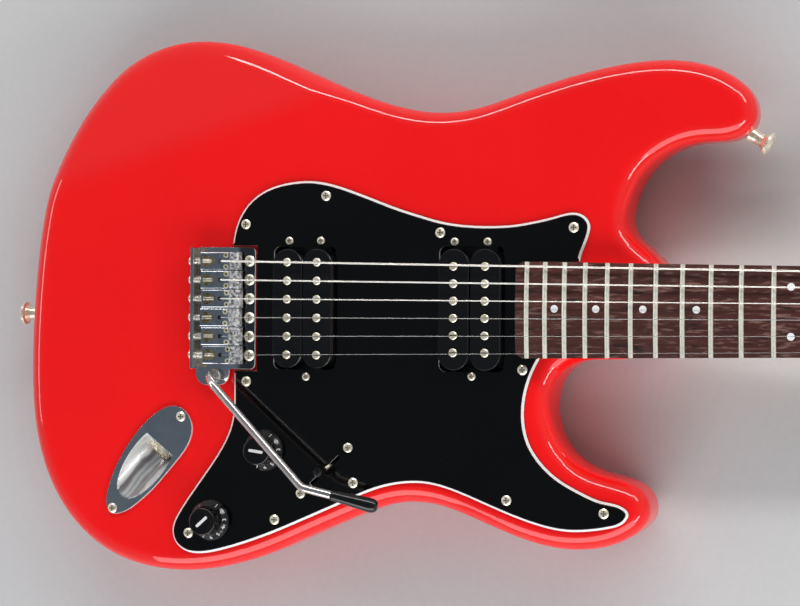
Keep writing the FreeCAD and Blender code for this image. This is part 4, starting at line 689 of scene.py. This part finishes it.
def build_body():
    n = 760
    P = closed_spline(BODY_OUTLINE, n)
    T = np.roll(P, -1, 0) - np.roll(P, 1, 0)
    T /= np.linalg.norm(T, axis=1)[:, None]
    area = 0.5 * np.sum(P[:, 0] * np.roll(P[:, 1], -1) - np.roll(P[:, 0], -1) * P[:, 1])
    N = np.stack([-T[:, 1], T[:, 0]], 1) * (1 if area > 0 else -1)
    reach = np.full(n, R_EDGE)
    for d in np.arange(4.0, R_EDGE + 0.01, 0.4):
        Q = P + N * d
        dist = np.sqrt(((Q[:, None, :] - P[None, :, :]) ** 2).sum(2)).min(1)
        bad = dist < d - 0.12
        reach = np.where(bad & (reach > d), np.minimum(reach, d), reach)
    r = reach.copy()
    for k in range(-9, 10):
        r = np.minimum(r, np.roll(reach, k))
    s = sum(np.roll(r, k) for k in range(-9, 10)) / 19.0
    Rh = s * 0.985
    K = 12
    inner = P + N * Rh[:, None]
    zt_in, zb_in = top_z(inner[:, 0], inner[:, 1]), bottom_z(inner[:, 0], inner[:, 1])
    gap = (top_z(P[:, 0], P[:, 1]) - bottom_z(P[:, 0], P[:, 1])) / 2 - 0.3
    Rv = np.minimum(R_EDGE, gap)
    verts, faces = [], []

    def ring(theta, upper):
        xy = P + N * (Rh * (1 - math.cos(theta)))[:, None]
        if upper:
            z = top_z(xy[:, 0], xy[:, 1]) - Rv * (1 - math.sin(theta))
        else:
            z = bottom_z(xy[:, 0], xy[:, 1]) + Rv * (1 - math.sin(theta))
        base = len(verts)
        verts.extend(zip(xy[:, 0], xy[:, 1], z))
        return base

    rings = [ring(math.pi / 2 * k / K, True) for k in range(K, -1, -1)] + [ring(math.pi / 2 * k / K, False) for k in range(0, K + 1)]
    for a, b in zip(rings[:-1], rings[1:]):
        for i in range(n):
            j = (i + 1) % n
            faces.append((a + i, a + j, b + j, b + i))
    # flat and contoured fields inside the innermost rings
    step = 5.0
    gx = np.arange(inner[:, 0].min(), inner[:, 0].max(), step)
    gy = np.arange(inner[:, 1].min(), inner[:, 1].max(), step)
    G = np.array([(x + (0.5 * step if k % 2 else 0), y) for k, y in enumerate(gy) for x in gx])
    G = G[inside(G, inner)]
    near = np.sqrt(((G[:, None, :] - inner[None, ::2, :]) ** 2).sum(2)).min(1)
    G = G[near > 2.2]
    allp = [Vector((float(a), float(b))) for a, b in inner] + [Vector((float(a), float(b))) for a, b in G]
    edges = [(i, (i + 1) % n) for i in range(n)]
    vo, _, fo, _, _, _ = delaunay_2d_cdt(allp, edges, [], 1, 1e-7)
    V = np.array([(v.x, v.y) for v in vo])
    cen = np.array([V[list(f)].mean(0) for f in fo])
    keep = inside(cen, inner)
    for zf in (top_z, bottom_z):
        base = len(verts)
        z = zf(V[:, 0], V[:, 1])
        verts.extend(zip(V[:, 0], V[:, 1], z))
        for f, k in zip(fo, keep):
            if k:
                faces.append(tuple(base + q for q in f))
    ob = from_data("body_shell", verts, faces, M["body_red"], None, None, merge=2e-6)

    # hollows, as in the CAD body
    def prism(poly, z0, z1):
        b = len(cv)
        m = len(poly)
        cv.extend([(x, y, z0) for x, y in poly] + [(x, y, z1) for x, y in poly])
        cf.append(tuple(b + k for k in reversed(range(m))))
        cf.append(tuple(b + m + k for k in range(m)))
        for k in range(m):
            q = (k + 1) % m
            cf.append((b + k, b + q, b + m + q, b + m + k))

    def rect(x0, y0, x1, y1):
        return [(x0, y0), (x1, y0), (x1, y1), (x0, y1)]

    hw = lambda x: 27.9 + (21.0 - 27.9) * (x - 175.2) / (648 - 175.2)
    sets = [
        [([(188.9, -hw(189) - 0.1), (302, -hw(302) - 0.1), (302, hw(302) + 0.1), (188.9, hw(189) + 0.1)], ZT + 5 - 20.5, ZT + 40)],
        [(rect(44.9 - 21, -39, 44.9 + 21, 39), ZT - 19, ZT + 1), (rect(147.35 - 21, -39, 147.35 + 21, 39), ZT - 19, ZT + 1)],
        [(rect(-22, -34.6, 4.5, 34.6), ZB - 1, ZT + 1)],
        [(rect(-5, -29, 131, 29), ZB - 1, ZB + 16.5)],
        [([(86, -82), (70, -68), (30, -64), (4, -68), (-30, -122), (-28, -141), (-6, -140), (46, -121), (74, -96)], ZT - 36, ZT + 2)],
    ]
    # cut the hollows group by group; the jack scoop is cut later, with jack_cutter
    sc = []
    for group in sets:
        cv, cf = [], []
        for poly, z0, z1 in group:
            prism(poly, z0, z1)
        cut = from_data("cutter", cv, cf, None, None, None, merge=0)
        mod = ob.modifiers.new("cut", "BOOLEAN")
        mod.operation = "DIFFERENCE"
        mod.solver = "EXACT"
        mod.object = cut
        apply_modifiers(ob)
        bpy.data.objects.remove(cut)
    ob.data.materials.clear()
    ob.data.materials.append(M["body_red"])
    return ob


def jack_cutter():
    t = math.radians(25.0)
    ja, jb = Vector((-34.9, -65.6, 0)), Vector((-79.4, -122.1, 0))
    JU = (ja - jb).normalized()
    JC = (ja + jb) / 2
    JD = -JU * math.cos(t) + Vector((0, 0, math.sin(t)))
    JA = JC + JU * 11.87 + Vector((0, 0, ZT + 1.5 - 5.0))
    JV = Vector((-JU.y, JU.x, 0))
    up = Vector((JU.x * math.sin(t), JU.y * math.sin(t), math.cos(t)))
    verts, faces = [], []
    m = 96
    for c in (JA - JD * 2.0, JA + JD * 62):
        for k in range(m):
            a = 2 * math.pi * k / m
            verts.append(tuple(c + JV * (13.7 * math.cos(a)) + up * (13.7 * math.sin(a))))
    faces.append(tuple(range(m)))
    faces.append(tuple(m + k for k in reversed(range(m))))
    for k in range(m):
        q = (k + 1) % m
        faces.append((k, m + k, m + q, q))
    return from_data("cutter", verts, faces, None, None, None, merge=0)


body_ob = build_body()
cut = jack_cutter()
mod = body_ob.modifiers.new("cut", "BOOLEAN")
mod.operation = "DIFFERENCE"
mod.solver = "EXACT"
mod.object = cut
apply_modifiers(body_ob)
bpy.data.objects.remove(cut)
body_ob.data.materials.clear()
body_ob.data.materials.append(M["body_red"])
body_ob.data.materials.append(M["cavity_black"])
# boxes whose deep walls get the cavity black; the last, round the jack bore, is painted shade
HOLLOWS = [(23.7, -39.2, 66.1, 39.2), (126.1, -39.2, 168.6, 39.2), (-22.2, -34.8, 4.7, 34.8), (-5.2, -29.2, 131.2, 29.2), (-31, -142, 87, -67), (-86, -128, -12, -34)]
RIM = closed_spline(BODY_OUTLINE, 400)
CEN = np.array([tuple(p.center / MM) for p in body_ob.data.polygons])
INWARD = np.concatenate([np.sqrt(((CEN[k:k + 2000, None, :2] - RIM[None, :, :]) ** 2).sum(2)).min(1) for k in range(0, len(CEN), 2000)])
for p, c, d in zip(body_ob.data.polygons, CEN, INWARD):
    p.use_smooth = True
    deep = ZB + 0.3 < c[2] < ZT - 0.25 and d > 12.2
    p.material_index = 1 if deep and any(q[0] < c[0] < q[2] and q[1] < c[1] < q[3] for q in HOLLOWS) else 0
body_ob.data.set_sharp_from_angle(angle=math.radians(40))
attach(body_ob, "guitar")
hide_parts("body")


# ------------------------------------------------------------------ pickguard with its bevelled edge
def build_guard():
    src = nodes["pickguard"]
    bm = bmesh.new()
    bm.from_mesh(src.data)
    bmesh.ops.remove_doubles(bm, verts=bm.verts, dist=2e-6)
    top = (ZT + GUARD_T) * MM
    flat = {f for f in bm.faces if all(abs(v.co.z - top) < 3e-6 for v in f.verts)}
    nxt = {}
    for e in bm.edges:
        fs = [f for f in e.link_faces if f in flat]
        if len(fs) == 1:
            for lp in fs[0].loops:
                if lp.edge == e:
                    nxt.setdefault(lp.vert.index, []).append(lp.link_loop_next.vert.index)
    co = {v.index: (v.co.x / MM, v.co.y / MM) for v in bm.verts}
    bm.free()
    loops = []
    while nxt:
        s0 = next(iter(nxt))
        cur, lp = s0, []
        while True:
            lp.append(cur)
            c = nxt[cur].pop(0)
            if not nxt[cur]:
                del nxt[cur]
            cur = c
            if cur == s0:
                break
        loops.append(np.array([co[k] for k in lp]))
    areas = [0.5 * abs(np.sum(l[:, 0] * np.roll(l[:, 1], -1) - np.roll(l[:, 0], -1) * l[:, 1])) for l in loops]
    k0 = int(np.argmax(areas))
    outer, holes = loops[k0], [l for k, l in enumerate(loops) if k != k0]
    # even out the outer line, keeping its corners
    seg = []
    m = len(outer)
    for i in range(m):
        a, b = outer[i], outer[(i + 1) % m]
        L = float(np.linalg.norm(b - a))
        q = max(1, int(round(L / 1.2)))
        for k in range(q):
            seg.append(a + (b - a) * k / q)
    O = np.array(seg)
    keep = [0]
    for i in range(1, len(O)):
        if np.linalg.norm(O[i] - O[keep[-1]]) > 0.35:
            keep.append(i)
    O = O[keep]
    n = len(O)
    area = 0.5 * np.sum(O[:, 0] * np.roll(O[:, 1], -1) - np.roll(O[:, 0], -1) * O[:, 1])
    sgn = 1 if area > 0 else -1
    d1 = O - np.roll(O, 1, 0)
    d2 = np.roll(O, -1, 0) - O
    d1 /= np.linalg.norm(d1, axis=1)[:, None]
    d2 /= np.linalg.norm(d2, axis=1)[:, None]
    n1 = np.stack([-d1[:, 1], d1[:, 0]], 1) * sgn
    n2 = np.stack([-d2[:, 1], d2[:, 0]], 1) * sgn
    nb = n1 + n2
    L = np.linalg.norm(nb, axis=1)
    nb /= np.maximum(L, 1e-6)[:, None]
    cosh = np.maximum((nb * n1).sum(1), 0.55)
    W = 1.75
    square = ((O[:, 0] > -3.2) & (O[:, 0] < 14.3) & (np.abs(O[:, 1]) < 38.0)) | ((O[:, 0] > 187.0) & (O[:, 0] < 211.5) & (np.abs(O[:, 1]) < 28.6))
    W = np.where(square, 0.22, W)
    off = W / cosh
    I = O + nb * off[:, None]
    # where the inset line would cross itself, pull it back
    for _ in range(4):
        dist = np.sqrt(((I[:, None, :] - O[None, :, :]) ** 2).sum(2)).min(1)
        bad = dist < W - 0.1
        if not bad.any():
            break
        off = np.where(bad, off * 0.8, off)
        I = O + nb * off[:, None]
    z0, z1, z2 = ZT + 0.02, ZT + 0.42, ZT + GUARD_T
    verts, faces = [], []

    def add(xy, z):
        b = len(verts)
        verts.extend((float(p[0]), float(p[1]), z) for p in xy)
        return b
    prof = [(0.0, z0), (0.0, z1)]
    steps = 5
    rings = [add(O, z0), add(O, z1)]
    for k in range(1, steps + 1):
        f = k / steps
        rings.append(add(O + nb * (off * f)[:, None], z1 + (z2 - z1) * f))
    for a, b in zip(rings[:-1], rings[1:]):
        for i in range(n):
            j = (i + 1) % n
            faces.append((a + i, a + j, b + j, b + i))
    for z, line in ((z2, I), (z0, O)):
        pts = [Vector((float(a), float(b))) for a, b in line]
        edges = [(i, (i + 1) % len(line)) for i in range(len(line))]
        for h in holes:
            b = len(pts)
            pts += [Vector((float(p), float(q))) for p, q in h]
            edges += [(b + i, b + (i + 1) % len(h)) for i in range(len(h))]
        vo, _, fo, _, _, _ = delaunay_2d_cdt(pts, edges, [], 1, 1e-7)
        V = np.array([(v.x, v.y) for v in vo])
        cen = np.array([V[list(f)].mean(0) for f in fo])
        ok = inside(cen, line)
        for h in holes:
            ok &= ~inside(cen, h)
        b = add(V, z)
        for f, k in zip(fo, ok):
            if k:
                faces.append(tuple(b + q for q in f))
    for h in holes:
        a, b = add(h, z2), add(h, z0)
        m = len(h)
        for i in range(m):
            j = (i + 1) % m
            faces.append((a + i, a + j, b + j, b + i))
    ob = from_data("pickguard_sheet", verts, faces, M["guard_black"], "guitar", 28.0, merge=3e-6)
    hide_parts("pickguard")
    return ob

build_guard()


# ------------------------------------------------------------------ knobs
def numeral(text, size, thick):
    cu = bpy.data.curves.new("numeral", "FONT")
    cu.body = text
    cu.size = size * MM
    cu.extrude = thick * MM / 2
    cu.align_x = "CENTER"
    cu.align_y = "CENTER"
    cu.resolution_u = 3
    ob = bpy.data.objects.new("numeral", cu)
    scene.collection.objects.link(ob)
    bpy.context.view_layer.update()
    me = bpy.data.meshes.new_from_object(ob.evaluated_get(bpy.context.evaluated_depsgraph_get()))
    bpy.data.objects.remove(ob)
    bpy.data.curves.remove(cu)
    return me


def build_knob(body, x, y, turn, bar):
    rib = 30
    def flute(a, r, h):
        if h < 6.6 or h > 14.2 or r < 8.0:
            return r
        w = abs(math.sin(a * rib / 2))
        ease = min(1.0, (h - 6.6) / 0.8, (14.2 - h) / 0.8)
        return r - 0.42 * (1 - w ** 0.7) * ease
    prof = [(0, 9.0), (3.02, 9.0), (3.05, 4.6), (7.2, 4.6), (8.6, 0.55), (11.9, 0.5), (12.25, 0.62), (12.38, 0.95), (12.38, 1.5), (12.2, 2.0), (11.9, 2.55),
            (11.0, 3.45), (10.0, 4.45), (9.2, 5.25), (8.85, 5.8), (8.68, 6.3), (8.62, 6.6), (8.55, 7.4), (8.5, 9.0), (8.42, 11.0), (8.36, 13.4),
            (8.3, 14.2), (8.2, 14.75), (7.95, 15.15), (7.5, 15.36), (7.0, 15.4), (6.4, 15.32), (4.0, 15.2), (0, 15.15)]
    knob = lathe(body + "_knob_moulded", prof, (x, y, G1), M["knob_black"], None, steps=180, flute=flute, angle=50.0)
    parts = []
    slope = math.atan2(2.7, 2.7)
    for k in range(10):
        me = numeral(str(k + 1), 3.5 if k < 9 else 3.0, 0.06)
        a = math.radians(turn - 28.0 * k)
        r, h = 10.35, 4.15
        radial = Vector((math.cos(a), math.sin(a), 0))
        # the numeral's foot points outwards, its face along the cone's normal
        normal = (radial * math.sin(slope) + Vector((0, 0, math.cos(slope)))).normalized()
        upv = (Vector((0, 0, 1)) * math.sin(slope) - radial * math.cos(slope)).normalized()
        right = upv.cross(normal)
        rot = Matrix((right, upv, normal)).transposed().to_4x4()
        me.transform(Matrix.Translation(Vector((x, y, G1)) * MM + (radial * r + Vector((0, 0, h))) * MM + normal * 0.02 * MM) @ rot)
        parts.append(me)
    bm = bmesh.new()
    for me in parts:
        bm.from_mesh(me)
    # plain bar across the top
    ca, sa = math.cos(math.radians(bar)), math.sin(math.radians(bar))
    ring = []
    for k in range(24):
        q = 2 * math.pi * k / 24
        ex = 3.7 if math.cos(q) > 0 else -3.7
        u, v = ex + 0.85 * math.cos(q), 0.85 * math.sin(q)
        ring.append((x + u * ca - v * sa, y + u * sa + v * ca))
    lo_ = [bm.verts.new((a * MM, b * MM, (G1 + 15.1) * MM)) for a, b in ring]
    hi_ = [bm.verts.new((a * MM, b * MM, (G1 + 15.40) * MM)) for a, b in ring]
    bm.faces.new(hi_)
    bm.faces.new(list(reversed(lo_)))
    for k in range(24):
        q = (k + 1) % 24
        bm.faces.new((lo_[k], lo_[q], hi_[q], hi_[k]))
    bmesh.ops.recalc_face_normals(bm, faces=bm.faces)
    me = bpy.data.meshes.new(body + "_numerals")
    bm.to_mesh(me)
    bm.free()
    for p in parts:
        bpy.data.meshes.remove(p)
    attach(knob, body)
    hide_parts(body + "_knob")
    new_object(body + "_numerals", me, M["mark_white"], body, 30.0)

build_knob("volume", 19.5, -84.5, 60.0, -8.0)
build_knob("tone", -14.6, -127.2, 60.0, 42.0)

# ------------------------------------------------------------------ strings, a copy of the CAD strings' mesh
src = nodes["strings"]
me = src.data.copy()
st = bpy.data.objects.new("strings_run", me)
scene.collection.objects.link(st)
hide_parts("strings")
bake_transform(st)

# ------------------------------------------------------------------ springs of the vibrato, wound wire instead of plain tubes
def coil_path(a, b, radius, pitch, per_turn=12, close=3.0, body_pitch=None):
    A, B = Vector(a), Vector(b)
    ax = (B - A).normalized()
    ref = Vector((0, 0, 1)) if abs(ax.z) < 0.9 else Vector((1, 0, 0))
    e1 = (ref - ax * ref.dot(ax)).normalized()
    e2 = ax.cross(e1)
    L = (B - A).length
    n = max(2, int(L / pitch * per_turn))
    out = []
    for i in range(n + 1):
        s = L * i / n
        q = 2 * math.pi * i / per_turn
        out.append(A + ax * s + e1 * (radius * math.cos(q)) + e2 * (radius * math.sin(q)))
    return out

for k, y in enumerate((-21.0, 0.0, 21.0)):
    path = [Vector((2.0, y, 10.6)), Vector((6.5, y, 10.6)), Vector((9.2, y, 11.6))]
    path += coil_path((11.0, y, 10.6), (99.0, y, 10.6), 3.5, 1.55, 12)
    path += [Vector((101.5, y, 11.0)), Vector((104.0, y, 10.6)), Vector((110.0, y, 10.6))]
    sp = tube("vibrato_spring_%d" % (k + 1), path, 0.62, M["steel"], None, sides=7)
    if k == 0:
        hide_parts("trem_springs")
    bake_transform(sp)

# ------------------------------------------------------------------ springs on the saddles' length screws
src = nodes["intonation_springs"]
V = np.array([tuple(v.co) for v in src.data.vertices]) / MM
rows = np.sort(V[:, 1])
cuts_y = [-1e9] + [(a + b) / 2 for a, b in zip(rows[:-1], rows[1:]) if b - a > 3.0] + [1e9]
for k, (a, b) in enumerate(zip(cuts_y[:-1], cuts_y[1:])):
    part = V[(V[:, 1] > a) & (V[:, 1] < b)]
    x0, x1 = part[:, 0].min() + 0.3, part[:, 0].max() - 0.3
    yc, zc = (part[:, 1].min() + part[:, 1].max()) / 2, (part[:, 2].min() + part[:, 2].max()) / 2
    sp = tube("saddle_spring_%d" % (k + 1), coil_path((x0, yc, zc), (x1, yc, zc), 1.98, 0.92, 12), 0.31, M["nickel_wire"], None, sides=7)
    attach(sp, "bridge")
    if k == 0:
        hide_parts("intonation_springs")

# ------------------------------------------------------------------ finished edges on the bright metal, with a painted highlight on the bridge and jack plates' rims
for nm, w, q in (("bridge_plate", 0.45, 3), ("jack_plate", 0.6, 3), ("neck_plate", 0.5, 2), ("back_cover", 0.5, 2), ("nut", 0.3, 2)):
    edged(nm, w, segments=q, rim=M["chrome_painted_rim_highlight"] if nm in ("bridge_plate", "jack_plate") else None)

# ------------------------------------------------------------------ floor and light
floor = Mat("floor_pale")
nf = floor.noise(3.0, 4.0)
ff = floor.noise(240.0, 3.0)
floor.color(floor.mix(floor.spread(ff, 0.0, 0.15), floor.ramp(nf, [(0.3, (0.545, 0.545, 0.55)), (0.7, (0.585, 0.585, 0.585))]), (0.46, 0.46, 0.46)))
floor.rough(floor.spread(ff, 0.75, 0.9))
me = bpy.data.meshes.new("floor")
me.from_pydata([(-6, -6, -0.0006), (6, -6, -0.0006), (6, 6, -0.0006), (-6, 6, -0.0006)], [], [(0, 1, 2, 3)])
fl = bpy.data.objects.new("floor", me)
scene.collection.objects.link(fl)
me.materials.append(floor.m)

world = bpy.data.worlds.new("studio")
scene.world = world
world.use_nodes = True
bg = next(n for n in world.node_tree.nodes if n.type == "BACKGROUND")
tc = world.node_tree.nodes.new("ShaderNodeTexCoord")
sep = world.node_tree.nodes.new("ShaderNodeSeparateXYZ")
world.node_tree.links.new(tc.outputs["Generated"], sep.inputs[0])
rmp = world.node_tree.nodes.new("ShaderNodeValToRGB")
for k, (pos, col) in enumerate(((0.0, (0.52, 0.52, 0.53)), (1.0, (0.080, 0.102, 0.125)), (0.62, (0.37, 0.37, 0.38)), (0.90, (0.105, 0.125, 0.145)))):
    el = rmp.color_ramp.elements[k] if k < 2 else rmp.color_ramp.elements.new(pos)
    el.position = pos
    el.color = (*col, 1)
world.node_tree.links.new(sep.outputs["Z"], rmp.inputs["Fac"])
world.node_tree.links.new(rmp.outputs["Color"], bg.inputs["Color"])
bg.inputs["Strength"].default_value = 1.0


def area(name, loc, target, size, power, color=(1, 1, 1)):
    li = bpy.data.lights.new(name, "AREA")
    li.shape = "RECTANGLE"
    li.size, li.size_y = size
    li.energy = power
    li.color = color
    ob = bpy.data.objects.new(name, li)
    ob.location = loc
    d = Vector(target) - Vector(loc)
    ob.rotation_euler = d.to_track_quat("-Z", "Y").to_euler()
    scene.collection.objects.link(ob)

area("key", (0.20, 2.0, 1.35), (0.2, 0, 0), (2.6, 0.24), 30, (1.0, 0.99, 0.97))
area("fill", (0.20, -1.7, 0.95), (0.2, 0, 0), (2.4, 1.1), 28, (0.97, 0.98, 1.0))
area("end", (-1.7, 0.3, 1.0), (0.1, 0, 0), (1.2, 0.25), 5)
area("diagonal_a", (1.55, 1.25, 0.85), (0.1, 0, 0), (0.9, 0.3), 8)
area("diagonal_b", (1.55, -1.25, 0.85), (0.1, 0, 0), (0.9, 0.3), 9)
